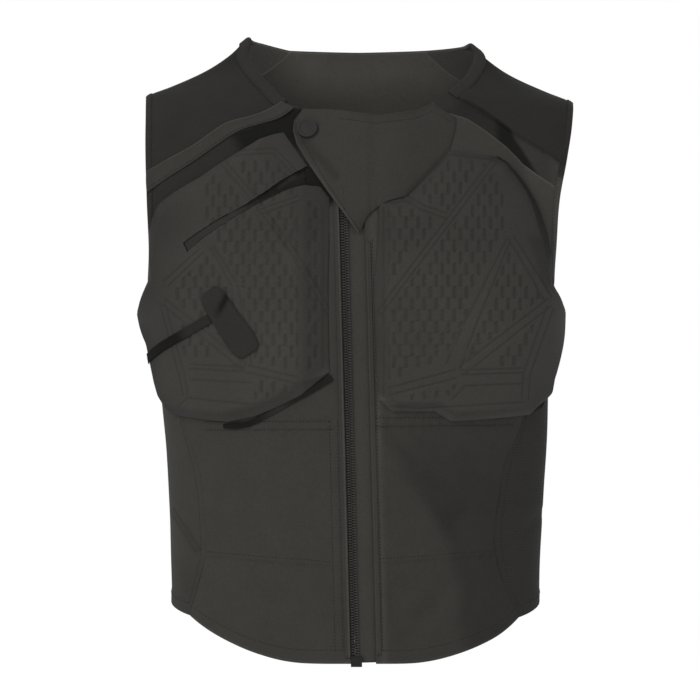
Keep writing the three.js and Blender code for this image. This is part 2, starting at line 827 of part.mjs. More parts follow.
function collarFlap() {
  const edge = (rows) => walk(charted(LEFT, rows));
  const net = between(edge(FLAP.low), edge(FLAP.top), edge(FLAP.left), edge(FLAP.right));
  const ease = (t) => THREE.MathUtils.smoothstep(t, 0, 1);
  const low = (p) => {
    const x = onBody(p).x;
    const climb = ease((x - FLAP_RAISED.from) / FLAP_RAISED.run);
    const fall = ease((x - FLAP_RAISED.to) / FLAP_RAISED.run);
    return LAID + FLAP_RAISED.height * climb * (1 - fall);
  };
  return sheet(netLines(10), netLines(12), net, low, (p) => low(p) + CLOTH);
}

function neckBinding() {
  const reach = neckLine(LEFT);
  const other = neckLine(RIGHT);
  const turned = (p) => new THREE.Vector2(p.x + 2 * Math.PI * CHART_RADIUS, p.y);
  const rows = 20;
  const run = [];
  for (let i = 0; i <= rows; i += 1) {
    run.push(reach(NECK_BINDING_START[LEFT] + ((1 - NECK_BINDING_START[LEFT]) * i) / rows));
  }
  run.push(chart(LEFT, { x: 0, z: NECK_BACK_MIDDLE_Z, back: true }));
  for (let i = rows; i >= 0; i -= 1) {
    run.push(turned(other(NECK_BINDING_START[RIGHT] + ((1 - NECK_BINDING_START[RIGHT]) * i) / rows)));
  }
  const line = walk(run);
  return ribbon(line, () => ({ from: -0.4, to: -NECK_BINDING_WIDTH, low: LAID, high: LAID + STRIP }), 40);
}

function armholeBinding(side) {
  const line = (t) => armholePoint(side, t);
  const outward = side === LEFT ? -1 : 1;
  const low = LAID + 0.4;
  const row = { from: outward * 0.4, to: outward * (BINDING_WIDTH + 0.5), low, high: low + STRIP };
  return ribbon(line, () => row, 40, true);
}

function zipStrip(fromOffset, toOffset, low, high, topZ, bottomZ, count) {
  const line = (t) => chart(1, zipRow(bottomZ + (topZ - bottomZ) * t, 0));
  return ribbon(line, () => ({ from: -fromOffset, to: -toOffset, low, high }), count);
}

function strap(points, width, seat, cuts) {
  const line = walk(rounded(points));
  const row = (t, p) => ({ from: -width / 2, to: width / 2, low: seat(p), high: seat(p) + STRIP });
  return ribbon(line, row, cuts);
}

function strapTab(seat) {
  const line = walk(rounded(chartedAt(RIGHT, TAB_AXIS, PAD_FACE)));
  const rows = TAB_PROFILE.map((row) => ({ ...row, z: row.along }));
  const profile = (t, p) => {
    const half = columnAt(rows, 'halfWidth', t);
    const low = seat(p) + columnAt(rows, 'bend', t);
    return { from: -half, to: half, low, high: low + TAB_THICKNESS };
  };
  return ribbon(line, profile, 16);
}

const wasm = await Module();
wasm.setup();

function toManifold(geometry) {
  return new wasm.Manifold(new wasm.Mesh({
    numProp: 3,
    vertProperties: new Float32Array(geometry.attributes.position.array),
    triVerts: new Uint32Array(geometry.index.array),
  }));
}

function fromManifold(body) {
  const mesh = body.getMesh();
  const geometry = new THREE.BufferGeometry();
  geometry.setAttribute('position', new THREE.Float32BufferAttribute(mesh.vertProperties, 3));
  geometry.setIndex(Array.from(mesh.triVerts));
  geometry.computeVertexNormals();
  return geometry;
}

const padFace = padTop(RIGHT);
const slitDepth = (p) => {
  const inward = (SLIT_DEPTH.from - Math.abs(onBody(p).x)) / SLIT_DEPTH.run;
  return THREE.MathUtils.lerp(SLIT_DEPTH.outer, SLIT_DEPTH.inner, THREE.MathUtils.smoothstep(inward, 0, 1));
};
const slitFloor = (p) => Math.max(padFace(p) - slitDepth(p), PAD_SEAT + 2);

function slitPad() {
  const across = netLines(10);
  const cutter = sheet(across, [0, 1], slitNet(0)(0), slitFloor, flat(PAD_FACE + 20));
  return fromManifold(toManifold(chestPad(RIGHT)).subtract(toManifold(cutter)));
}

const onPad = (p) => padFace(p) + LAY_GAP;
const sideStrapLine = [chart(RIGHT, SIDE_STRAP_FOOT), ...chartedAt(RIGHT, SIDE_STRAP, PAD_FACE)];
const lowerStrapLine = charted(RIGHT, LOWER_STRAP);
const teeth = ZIP_TEETH_WIDTH / 2;
const insertLow = (p) => slitFloor(p) + 0.5;
const insertHigh = (p) => insertLow(p) + STRIP;
const insert = sheet(netLines(10), [0, 1], slitNet(SLIT_INSERT_END)(1.6), insertLow, insertHigh);

const pieces = [
  { name: 'front_panel_right', finish: 'main', shape: frontPanel(RIGHT) },
  { name: 'front_panel_left', finish: 'main', shape: frontPanel(LEFT) },
  { name: 'side_panel_right', finish: 'main', shape: sidePanel(RIGHT) },
  { name: 'side_panel_left', finish: 'knit', shape: sidePanel(LEFT) },
  { name: 'back_panel', finish: 'main', shape: backPanel() },
  { name: 'shoulder_yoke_right', finish: 'knit', shape: yoke(RIGHT) },
  { name: 'shoulder_yoke_left', finish: 'knit', shape: yoke(LEFT) },
  { name: 'shoulder_trim_right', finish: 'main', shape: shoulderTrim(RIGHT) },
  { name: 'chest_pad_right', finish: 'pad', shape: slitPad() },
  { name: 'chest_pad_left', finish: 'pad', shape: chestPad(LEFT) },
  { name: 'slit_insert', finish: 'webbing', shape: insert },
  { name: 'collar_flap', finish: 'main', shape: collarFlap() },
  { name: 'snap_cap', finish: 'cap', shape: turned(chart(1, SNAP), snapRows(), 20) },
  { name: 'neck_binding', finish: 'knit', shape: neckBinding() },
  { name: 'armhole_binding_right', finish: 'knit', shape: armholeBinding(RIGHT) },
  { name: 'armhole_binding_left', finish: 'knit', shape: armholeBinding(LEFT) },
  { name: 'placket_right', finish: 'main', shape: zipStrip(-10.5, -5.5, LAID, LAID + STRIP, -90, -606, 18) },
  { name: 'placket_left', finish: 'main', shape: zipStrip(20.5, 25.5, LAID, LAID + STRIP, -200, -604, 16) },
  { name: 'zip_tape_right', finish: 'zip', shape: zipStrip(-15, -0.5, -1.9, -0.9, -84, -611, 18) },
  { name: 'zip_tape_left', finish: 'zip', shape: zipStrip(0.5, 27, -1.9, -0.9, -84, -611, 18) },
  { name: 'zip_teeth', finish: 'zip', shape: zipStrip(-teeth, teeth, -0.5, 1.6, -86, -603, 18) },
  { name: 'zip_stop', finish: 'zip', shape: zipStrip(-4.5, 6.5, -0.5, 2.2, -604, -615, 1) },
  { name: 'side_strap', finish: 'webbing', shape: strap(sideStrapLine, STRAP_WIDTH, onPad, 10) },
  { name: 'strap_tab', finish: 'webbing', shape: strapTab(onPad) },
  { name: 'lower_strap', finish: 'webbing', shape: strap(lowerStrapLine, LOWER_STRAP_WIDTH, flat(LAID), 8) },
];

const vest = new THREE.Group();
vest.name = 'protective_vest';
for (const piece of pieces) {
  const mesh = new THREE.Mesh(piece.shape, new THREE.MeshStandardMaterial(FINISH[piece.finish]));
  mesh.name = piece.name;
  vest.add(mesh);
}

export default vest;
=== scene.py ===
"""Looks of a sleeveless protective vest with moulded chest pads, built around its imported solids."""

from __future__ import annotations

import logging
import math
from dataclasses import dataclass, field
from enum import Enum
from typing import Callable, NamedTuple, Sequence

import bpy
import numpy as np
from mathutils import Matrix, Vector
from mathutils.bvhtree import BVHTree

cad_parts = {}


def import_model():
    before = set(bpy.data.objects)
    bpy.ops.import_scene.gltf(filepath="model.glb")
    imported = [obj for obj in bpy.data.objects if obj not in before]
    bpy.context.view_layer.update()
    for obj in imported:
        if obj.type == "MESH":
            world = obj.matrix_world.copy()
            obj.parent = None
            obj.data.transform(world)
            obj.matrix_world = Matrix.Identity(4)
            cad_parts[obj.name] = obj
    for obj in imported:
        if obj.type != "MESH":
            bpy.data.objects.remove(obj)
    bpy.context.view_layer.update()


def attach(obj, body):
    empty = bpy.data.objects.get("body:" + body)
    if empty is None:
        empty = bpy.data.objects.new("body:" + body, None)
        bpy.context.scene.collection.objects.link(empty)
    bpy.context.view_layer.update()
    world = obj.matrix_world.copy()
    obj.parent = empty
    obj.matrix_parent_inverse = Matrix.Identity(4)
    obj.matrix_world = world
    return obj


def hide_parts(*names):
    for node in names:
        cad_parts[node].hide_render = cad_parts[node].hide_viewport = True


LOG = logging.getLogger("vest")
MM = 0.001
BODY = "root"
# Thickness of the cloth, seats of laid pieces and of pads, depth of hems and gap of seams, in millimetres.
CLOTH = 1.6
LAID = 2.5
PAD_SEAT = 3.0
HEM = 12.0
SEAM_GAP = 0.1
# Share of the thickness that sewn and free edges give up, and the angle past which an edge is sharp.
SEAM_ROUND = 0.06
EDGE_ROUND = 0.3
SHARP = math.radians(62)
Array = np.ndarray
Piece = bpy.types.Object
Socket = bpy.types.NodeSocket


class Side(Enum):
    """The wearer's sides, as signs along X."""

    RIGHT = -1
    LEFT = 1

    def named(self, stem: str) -> str:
        """The name of this side's piece."""
        return f"{stem}_{self.name.lower()}"


class Weave(Enum):
    """Ways in which the yarn of a cloth shows."""

    PLAIN = "plain"
    KNIT = "knit"
    RIB = "rib"
    TWILL = "twill"


class Hold(Enum):
    STRETCHED = "stretched"
    LAID = "laid"


class Row(NamedTuple):
    """A place on a seam: distance from the middle toward its side, and level, in millimetres."""

    x: float
    z: float


class Round(NamedTuple):
    """A place on the flank: the way round behind its outermost line, and level, in millimetres."""

    past: float
    z: float


class Fold(NamedTuple):
    """A soft ridge or hollow of the cloth along a line, in millimetres."""

    x: float
    z: float
    to_x: float
    to_z: float
    width: float
    rise: float


class Band(NamedTuple):
    """A raised band moulded in a pad: its path, and its half width at the start and the end."""

    path: tuple[Row, ...]
    half: float
    end_half: float


def rows(*pairs: tuple[float, float]) -> tuple[Row, ...]:
    """Rows of a seam from plain pairs."""
    return tuple(Row(*pair) for pair in pairs)


def rounds(*pairs: tuple[float, float]) -> tuple[Round, ...]:
    """Places on the flank from plain pairs."""
    return tuple(Round(*pair) for pair in pairs)


def by_side(right: object, left: object) -> dict[Side, object]:
    """A dataclass field that holds one value for each of the wearer's sides."""
    return field(default_factory=lambda: {Side.RIGHT: right, Side.LEFT: left})


def level_on(seam: Sequence[Row], x: Array) -> Array:
    """Level of a seam at distances from the middle."""
    return np.interp(x, [row.x for row in seam], [row.z for row in seam])


def run_lengths(points: Array) -> Array:
    """Length of a line from its start to each of its corners."""
    return np.concatenate([[0.0], np.cumsum(np.linalg.norm(np.diff(points, axis=0), axis=1))])


def ease(t: Array) -> Array:
    """A smooth step from 0 to 1."""
    s = np.clip(t, 0.0, 1.0)
    return s * s * (3.0 - 2.0 * s)


def rising(value: Array, start: float, run: float) -> Array:
    """A smooth step from 0 to 1 as values rise past a start, over a run."""
    return ease((value - start) / run)


def falling(value: Array, start: float, run: float) -> Array:
    """A smooth step from 0 to 1 as values fall below a start, over a run."""
    return ease((start - value) / run)


def bell(distance: Array, width: float) -> Array:
    """A soft hump of height 1 across a line."""
    return np.exp(-((distance / width) ** 2))


def hermite(levels: Array, columns: Array, z: Array) -> Array:
    """Smooth values of a table at given levels.

    Args:
        levels: Rising levels of the table's rows.
        columns: One row of values for each level.
        z: Levels to read the table at.

    Returns:
        The values, with the table's columns as the last axis.
    """
    slopes = np.gradient(columns, levels, axis=0)
    i = np.clip(np.searchsorted(levels, z) - 1, 0, len(levels) - 2)
    h = (levels[i + 1] - levels[i])[..., None]
    t = np.clip((z - levels[i])[..., None] / h, 0.0, 1.0)
    start = (2 * t**3 - 3 * t**2 + 1) * columns[i] + (t**3 - 2 * t**2 + t) * h * slopes[i]
    end = (3 * t**2 - 2 * t**3) * columns[i + 1] + (t**3 - t**2) * h * slopes[i + 1]
    return start + end


def to_path(points: Array, path: Sequence[Sequence[float]]) -> tuple[Array, Array]:
    """Distance of points from a bent line, and how far along it they lie.

    Args:
        points: Places, with their two coordinates as the last axis.
        path: Corners of the line.

    Returns:
        The distances, and the lengths along the line of the nearest places.
    """
    best = np.full(points.shape[:-1], 1e9)
    along = np.zeros(points.shape[:-1])
    run = 0.0
    for a, b in zip(np.asarray(path, float)[:-1], np.asarray(path, float)[1:]):
        line = b - a
        length = float(np.hypot(*line))
        t = np.clip(((points - a) @ line) / length**2, 0.0, 1.0)
        off = np.linalg.norm(points - a - t[..., None] * line, axis=-1)
        nearer = off < best
        best = np.where(nearer, off, best)
        along = np.where(nearer, run + t * length, along)
        run += length
    return best, along


def inside_by(points: Array, corners: Sequence[Sequence[float]]) -> Array:
    """Depth of points inside a closed outline, negative outside it."""
    outline = np.asarray(corners, float)
    closed = np.vstack([outline, outline[:1]])
    depth, _ = to_path(points, closed)
    x, z = points[..., 0], points[..., 1]
    within = np.zeros(x.shape, bool)
    for (ax, az), (bx, bz) in zip(closed[:-1], closed[1:]):
        if az != bz:
            within ^= ((az > z) != (bz > z)) & (x < (bx - ax) * (z - az) / (bz - az) + ax)
    return np.where(within, depth, -depth)


@dataclass(frozen=True)
class BodyForm:
    """The worn form that the cloth hangs in, and the flat chart of girth and height on it."""

    chart_radius: float = 170.0
    # level, half width, front depth, back depth, squareness, lean to the left, tilt of the shoulders
    sections: tuple[tuple[float, ...], ...] = (
        (-630, 183, 111, 109, 2.3, -3, 0),
        (-540, 182, 109, 103, 2.35, -2.5, 0),
        (-460, 185, 107, 97, 2.4, -2, 0),
        (-380, 190, 109, 98, 2.4, -2, 0),
        (-300, 195, 114, 106, 2.5, -5.5, 0),
        (-240, 201, 115, 112, 2.6, -7, 0),
        (-205, 217, 113, 115, 2.8, -5.5, 0),
        (-160, 236, 107, 115, 2.9, -5, 0.004),
        (-110, 241, 94, 111, 2.8, -1.5, 0.011),
        (-75, 231, 79, 104, 2.5, 1, 0.015),
        (-56, 212, 69, 98, 2.3, 1.5, 0.015),
        (-46, 187, 63, 94, 2.2, 1, 0.015),
        (-30, 152, 53, 87, 2.1, 0, 0.015),
        (-14, 128, 43, 80, 2.05, 0, 0.015),
        (0, 113, 36, 72, 2, 0, 0.015),
        (12, 98, 30, 66, 2, 0, 0.015),
    )

    @property
    def girth(self) -> float:
        """Length of the chart once round the body."""
        return 2 * np.pi * self.chart_radius

    def section(self, z: Array) -> Array:
        """The columns of the table at given levels, as the first axis."""
        table = np.asarray(self.sections, float)
        return np.moveaxis(hermite(table[:, 0], table[:, 1:], np.asarray(z, float)), -1, 0)

    def upright(self, side: Side, x: Array, z: Array, back: bool = False) -> Array:
        """Places of the chart for distances from the middle of a section, before lean and tilt.

        Args:
            side: The side that x is measured toward.
            x: Distance from the middle of the section.
            z: Level of the section.
            back: Whether the places are on the rear half.

        Returns:
            Girth from the front middle, and level, as the last axis.
        """
        x, z = np.broadcast_arrays(np.asarray(x, float), np.asarray(z, float))
        half, _, _, n, _, _ = self.section(z)
        across = np.minimum(np.abs(x) / half, 1.0)
        ahead = np.maximum(1.0 - across**n, 0.0) ** (1.0 / n)
        turn = np.sign(x) * np.arctan2(across, ahead)
        angle = np.pi - turn if back else turn
        return np.stack([side.value * angle * self.chart_radius, z], axis=-1)

    def chart(self, side: Side, x: Array, z: Array, back: bool = False) -> Array:
        """Places of the chart for distances from the middle plane and levels, as they are seen."""
        x, z = np.broadcast_arrays(np.asarray(x, float), np.asarray(z, float))
        level = z + self.section(z)[5] * side.value * x
        return self.upright(side, x - side.value * self.section(level)[4], level, back)

    def round(self, side: Side, place: Round) -> Array:
        """The chart place of a place on the flank."""
        _, front, rear, *_ = self.section(np.asarray(place.z, float))
        angle = math.pi / 2 + place.past / float(rear if place.past > 0 else front)
        return np.array([side.value * angle * self.chart_radius, place.z])

    def seam(self, side: Side, seam: Sequence[Row | Round], back: bool = False) -> Array:
        """Chart places of a seam's rows."""
        places = []
        for row in seam:
            flank = isinstance(row, Round)
            places.append(self.round(side, row) if flank else self.chart(side, row.x, row.z, back))
        return np.stack(places)

    def seen(self, side: Side, seam: Sequence[Row], height: float) -> Array:
        """Chart places of rows that are seen from the front on a face at a height."""
        wanted = np.asarray(seam, float)
        aim = wanted.copy()
        for _ in range(8):
            p = self.lay(self.chart(side, aim[:, 0], aim[:, 1]), height)
            aim += wanted - p[:, [0, 2]] * (side.value, 1.0)
        return self.chart(side, aim[:, 0], aim[:, 1])

    def point(self, chart: Array) -> Array:
        """Places on the body for places of the chart."""
        half, front, back, n, lean, tilt = self.section(chart[..., 1])
        angle = chart[..., 0] / self.chart_radius
        sine, cosine = np.sin(angle), np.cos(angle)
        reach = (np.abs(sine) ** n + np.abs(cosine) ** n) ** (-1.0 / n)
        depth = np.where(cosine > 0, front, back)
        x = lean + half * sine * reach
        return np.stack([x, -depth * cosine * reach, chart[..., 1] - tilt * x], axis=-1)

    def find(self, p: Array) -> Array:
        """Places of the chart for places on the body."""
        level = p[..., 2] + self.section(p[..., 2])[5] * p[..., 0]
        half, front, back, _, lean, _ = self.section(level)
        depth = np.where(p[..., 1] < 0, front, back)
        angle = np.arctan2((p[..., 0] - lean) / half, -p[..., 1] / depth)
        return np.stack([angle * self.chart_radius, level], axis=-1)

    def _level(self, p: Array) -> Array:
        """How far places are from the axis, as a share of the body's own reach."""
        half, front, back, n, lean, _ = self.section(p[..., 2] + self.section(p[..., 2])[5] * p[..., 0])
        depth = np.where(p[..., 1] < 0, front, back)
        return (np.abs((p[..., 0] - lean) / half) ** n + np.abs(p[..., 1] / depth) ** n) ** (1.0 / n)

    def outward(self, p: Array) -> Array:
        """Unit vectors straight out of the body at places on it."""
        steps = 0.5 * np.eye(3)
        slope = np.stack([self._level(p + d) - self._level(p - d) for d in steps], axis=-1)
        return slope / np.linalg.norm(slope, axis=-1, keepdims=True)

    def frame(self, base: Array, closed: bool = False) -> tuple[Array, Array]:
        """Unit vectors out of the body and across a line of places on it.

        Args:
            base: Places along the line.
            closed: Whether the line comes back to its start.

        Returns:
            The vectors out of the body, and those across the line.
        """
        up = self.outward(base)
        around = np.roll(base, -1, axis=0) - np.roll(base, 1, axis=0)
        across = np.cross(up, around if closed else np.gradient(base, axis=0))
        return up, across / np.linalg.norm(across, axis=1, keepdims=True)

    def lay(self, chart: Array, height: Array | float) -> Array:
        """Places at a height over the body."""
        base = self.point(chart)
        lift = np.broadcast_to(np.asarray(height, float), base.shape[:-1])
        return base + self.outward(base) * lift[..., None]


FORM = BodyForm()


class Line:
    """A line on the chart, walked by its length from 0 to 1."""

    def __init__(self, points: Array) -> None:
        """Takes the line's corners in order."""
        self.points = np.asarray(points, float)
        self.lengths = run_lengths(self.points)
        self.total = float(self.lengths[-1])

    @classmethod
    def smooth(cls, points: Array, count: int = 160) -> Line:
        """A rounded line through the given places."""
        p = np.asarray(points, float)
        t = np.linspace(0, len(p) - 1, count)
        i = np.minimum(t.astype(int), len(p) - 2)
        w = (t - i)[:, None]
        before, a, b = p[np.maximum(i - 1, 0)], p[i], p[i + 1]
        after = p[np.minimum(i + 2, len(p) - 1)]
        v0, v1 = (b - before) / 2, (after - a) / 2
        curve = (2 * a - 2 * b + v0 + v1) * w**3 + (3 * b - 3 * a - 2 * v0 - v1) * w**2 + v0 * w + a
        return cls(curve)

    def at(self, t: Array | float) -> Array:
        """Chart places at shares of the line's length."""
        reach = np.clip(t, 0.0, 1.0) * self.total
        return np.stack([np.interp(reach, self.lengths, self.points[:, k]) for k in (0, 1)], axis=-1)


@dataclass(frozen=True)
class Net:
    """The net of a piece between its four edges, drawn in by half the gap of a seam."""

    low: Line
    top: Line
    start: Line
    end: Line
    gap: float = SEAM_GAP

    @classmethod
    def between(cls, low: Line, top: Line, gap: float = SEAM_GAP) -> Net:
        """The net of a strip between two long edges, with straight ends."""
        start, end = (Line(np.stack([low.at(t), top.at(t)])) for t in (0.0, 1.0))
        return cls(low, top, start, end, gap)

    @property
    def tall(self) -> float:
        """Mean length of the edges that run along the piece."""
        return 0.5 * (self.start.total + self.end.total)

    def row(self, v: float, us: Array) -> Array:
        """Chart places of a line across the net."""
        return self.places(us, np.array([v])).chart[0]

    def column(self, u: float, vs: Array) -> Array:
        """Chart places of a line along the net."""
        return self.places(np.array([u]), vs).chart[:, 0]

    def places(self, us: Array, vs: Array) -> Places:
        """The places of the net at lines across and along it."""
        inset_u = self.gap / (self.low.total + self.top.total)
        inset_v = self.gap / (self.start.total + self.end.total)
        u = inset_u + us * (1 - 2 * inset_u)
        v = inset_v + vs * (1 - 2 * inset_v)
        across, along = u[None, :, None], v[:, None, None]
        chart = self.low.at(u)[None] * (1 - along) + self.top.at(u)[None] * along
        chart = chart + self.start.at(v)[:, None] * (1 - across) + self.end.at(v)[:, None] * across
        chart = chart - (1 - across) * ((1 - along) * self.low.at(0.0) + along * self.top.at(0.0))
        chart = chart - across * ((1 - along) * self.low.at(1.0) + along * self.top.at(1.0))
        return Places(chart)

    def grid(self, step: float, across_step: float | None = None) -> Places:
        """The net at an even spacing in millimetres, closer along the rim."""
        wide = 0.5 * (self.low.total + self.top.total)
        return self.places(spaced(wide, across_step or step), spaced(self.tall, step))


def spaced(length: float, step: float, rim: float = 0.8) -> Array:
    """Shares of a length at an even spacing, with two close lines at each end."""
    count = max(int(round((length - 4 * rim) / step)), 2)
    middle = np.linspace(2 * rim, length - 2 * rim, count + 1)
    return np.concatenate([[0.0, rim], middle, [length - rim, length]]) / length


class Places:
    """A grid of places on the body, with what relief and shade are worked out from."""

    def __init__(self, chart: Array) -> None:
        """Takes chart places with rows along the net as the first axis."""
        self.chart = chart
        self.body = FORM.point(chart)
        self.front = self.body[..., [0, 2]]
        zero_u = np.zeros_like(chart[:, :1, 0])
        zero_v = np.zeros_like(chart[:1, :, 0])
        across = np.linalg.norm(np.diff(self.body, axis=1), axis=-1)
        along = np.linalg.norm(np.diff(self.body, axis=0), axis=-1)
        self.from_start = np.concatenate([zero_u, np.cumsum(across, axis=1)], axis=1)
        self.from_low = np.concatenate([zero_v, np.cumsum(along, axis=0)], axis=0)
        self.from_end = self.from_start[:, -1:] - self.from_start
        self.from_top = self.from_low[-1:] - self.from_low

    @property
    def x(self) -> Array:
        """Distance to the wearer's left, as it is seen from the front."""
        return self.front[..., 0]

    @property
    def y(self) -> Array:
        """Distance to the back."""
        return self.body[..., 1]

    @property
    def z(self) -> Array:
        """Level, as it is seen from the front."""
        return self.front[..., 1]

    def near_rim(self) -> Array:
        """Distance from the nearest edge of the piece."""
        return np.minimum.reduce([self.from_start, self.from_end, self.from_low, self.from_top])

    def hem_fold(self) -> Array:
        """What the folded hem adds to the cloth's thickness."""
        return 0.55 * (1 - rising(self.from_low, HEM, 1.6))

    def seam_shade(self) -> Array:
        """Shade of plain cloth, a little darker along its two seams."""
        return 1.0 - 0.06 * bell(np.minimum(self.from_start, self.from_end), 1.5)

    def ripple(self, pitch: float) -> Array:
        """A soft uneven swell of the cloth, from -1 to 1."""
        g, z = self.chart[..., 0] / pitch, self.chart[..., 1] / pitch
        swell = np.sin(2.1 * g + 0.7 * z + 1.3) + np.sin(0.9 * g - 1.7 * z + 0.4)
        return (swell + np.sin(1.3 * g + 2.3 * z + 2.2)) / 3.0

    def folds(self, table: Sequence[Fold]) -> Array:
        """Rise of the cloth over a table of folds on the front."""
        rise = np.zeros(self.chart.shape[:-1])
        for fold in table:
            off, _ = to_path(self.front, [(fold.x, fold.z), (fold.to_x, fold.to_z)])
            rise += fold.rise * bell(off, fold.width)
        return np.where(self.y < 0, rise, 0.0)


class Finish:
    """A finish whose material is made once, from nodes."""

    name: str
    slot: str

    def material(self) -> bpy.types.Material:
        """The material, made on first use."""
        known = bpy.data.materials.get(self.name)
        if known is not None:
            return known
        made = bpy.data.materials.new(self.name)
        made.use_nodes = True
        self.dress(Nodes(made.node_tree))
        return made

    def dress(self, nodes: Nodes) -> None:
        """Joins the nodes of the finish."""
        raise NotImplementedError


class Nodes:
    """A short way to add and join shader nodes."""

    def __init__(self, tree: bpy.types.NodeTree) -> None:
        """Takes a new material's tree, which holds its shader."""
        self.tree = tree
        self.shader = tree.nodes["Principled BSDF"]

    def add(self, kind: str, **settings: object) -> bpy.types.Node:
        """A new node with its settings."""
        node = self.tree.nodes.new(kind)
        for name, value in settings.items():
            setattr(node, name, value)
        return node

    def join(self, source: Socket, target: Socket) -> None:
        """Links one socket to another."""
        self.tree.links.new(source, target)

    def math(self, operation: str, *values: object) -> Socket:
        """A sum of sockets and numbers.

        Args:
            operation: Name of the operation.
            values: Sockets or numbers, in the node's order.

        Returns:
            The result's socket.
        """
        node = self.add("ShaderNodeMath", operation=operation)
        for socket, value in zip(node.inputs, values):
            if isinstance(value, Socket):
                self.join(value, socket)
            else:
                socket.default_value = value
        return node.outputs[0]

    def noise(self, scale: float, detail: float = 2.0) -> Socket:
        """Cloudy noise on the object, from 0 to 1."""
        place = self.add("ShaderNodeTexCoord").outputs["Object"]
        node = self.add("ShaderNodeTexNoise")
        node.inputs["Scale"].default_value = scale
        node.inputs["Detail"].default_value = detail
        self.join(place, node.inputs["Vector"])
        return node.outputs["Fac"]

    def around_one(self, value: Socket, amount: float) -> Socket:
        """A factor near 1 from a value between 0 and 1."""
        return self.math("MULTIPLY_ADD", value, 2.0 * amount, 1.0 - amount)

    def colour(self, base: tuple[float, float, float], *factors: Socket) -> None:
        """Sets the base colour, multiplied by factors that vary over the surface."""
        share = factors[0]
        for factor in factors[1:]:
            share = self.math("MULTIPLY", share, factor)
        node = self.add("ShaderNodeVectorMath", operation="SCALE")
        node.inputs[0].default_value = base
        self.join(share, node.inputs["Scale"])
        self.join(node.outputs[0], self.shader.inputs["Base Color"])

    def bump(self, height: Socket, depth: float) -> None:
        """Sets the surface's fine relief, its depth in metres."""
        node = self.add("ShaderNodeBump")
        node.inputs["Strength"].default_value = 1.0
        node.inputs["Distance"].default_value = depth
        self.join(height, node.inputs["Height"])
        self.join(node.outputs[0], self.shader.inputs["Normal"])

    def roughness(self, value: Socket, low: float, high: float) -> None:
        """Sets roughness between two limits by a value from 0 to 1."""
        socket = self.math("MULTIPLY_ADD", value, high - low, low)
        self.join(socket, self.shader.inputs["Roughness"])


@dataclass(frozen=True)
class ClothFinish(Finish):
    """Matt cloth: yarn along the piece's own map, mottled dye and a faint nap."""

    name: str
    slot: str
    colour: tuple[float, float, float]
    weave: Weave
    pitch: float
    depth: float
    mottle: float = 0.1
    contrast: float = 0.12
    specular: float = 0.12
    sheen: float = 0.0
    slub: float = 0.2
    rough: tuple[float, float] = (0.82, 0.98)
    dye_scale: float = 38.0
    nap_scale: float = 1400.0
    slub_scale: float = 430.0
    nap_share: float = 0.6
    sheen_rough: float = 0.6

    def yarn(self, nodes: Nodes) -> Socket:
        """Height of the yarn, from 0 to 1."""
        chart = nodes.add("ShaderNodeUVMap", uv_map="cloth")
        turns = nodes.add("ShaderNodeVectorMath", operation="SCALE")
        turns.inputs["Scale"].default_value = 2.0 * math.pi / self.pitch
        nodes.join(chart.outputs[0], turns.inputs[0])
        parts = nodes.add("ShaderNodeSeparateXYZ")
        nodes.join(turns.outputs[0], parts.inputs[0])
        u, v = parts.outputs[0], parts.outputs[1]
        if self.weave is Weave.RIB:
            wave = nodes.math("SINE", v)
        elif self.weave is Weave.TWILL:
            wave = nodes.math("SINE", nodes.math("ADD", u, v))
        elif self.weave is Weave.KNIT:
            lean = nodes.math("PINGPONG", u, math.pi)
            loop = nodes.math("SINE", nodes.math("ADD", v, lean))
            wave = nodes.math("MULTIPLY", loop, nodes.math("ABSOLUTE", nodes.math("SINE", u)))
        else:
            wave = nodes.math("MULTIPLY", nodes.math("SINE", u), nodes.math("SINE", v))
        return nodes.math("MULTIPLY_ADD", wave, 0.5, 0.5)

    def dress(self, nodes: Nodes) -> None:
        """Joins yarn, dye, shade and nap."""
        tone = nodes.add("ShaderNodeAttribute", attribute_name="tone")
        yarn = self.yarn(nodes)
        dye = nodes.noise(self.dye_scale, 4.0)
        nap = nodes.noise(self.nap_scale)
        slub = nodes.noise(self.slub_scale, 3.0)
        shades = (
            nodes.around_one(dye, self.mottle),
            nodes.around_one(slub, self.slub),
            nodes.around_one(nap, self.mottle),
            nodes.around_one(yarn, self.contrast),
        )
        nodes.colour(self.colour, tone.outputs["Fac"], *shades)
        nodes.bump(nodes.math("MULTIPLY_ADD", nap, self.nap_share, yarn), self.depth)
        nodes.roughness(nap, *self.rough)
        nodes.shader.inputs["Specular IOR Level"].default_value = self.specular
        nodes.shader.inputs["Sheen Weight"].default_value = self.sheen
        nodes.shader.inputs["Sheen Roughness"].default_value = self.sheen_rough


@dataclass(frozen=True)
class MouldedFinish(Finish):
    """Moulded plastic or enamel: fine grain, dull patches and a soft gloss."""

    name: str
    slot: str
    colour: tuple[float, float, float]
    rough: tuple[float, float]
    specular: float
    grain_scale: float = 2600.0
    patch_scale: float = 120.0
    grain_depth: float = 0.00004

    def dress(self, nodes: Nodes) -> None:
        """Joins grain, patches and gloss."""
        grain = nodes.noise(self.grain_scale)
        patch = nodes.noise(self.patch_scale, 3.0)
        nodes.colour(self.colour, nodes.around_one(patch, 0.18), nodes.around_one(grain, 0.08))
        nodes.bump(grain, self.grain_depth)
        nodes.roughness(patch, *self.rough)
        nodes.shader.inputs["Specular IOR Level"].default_value = self.specular


@dataclass(frozen=True)
class FloorFinish(Finish):
    """Pale matt floor."""

    name: str = "studio_floor"
    slot: str = ""

    def dress(self, nodes: Nodes) -> None:
        """Joins a faint cloud of shade."""
        nodes.colour((0.92, 0.92, 0.92), nodes.around_one(nodes.noise(3.0), 0.01))
        nodes.shader.inputs["Roughness"].default_value = 0.9
        nodes.shader.inputs["Specular IOR Level"].default_value = 0.1


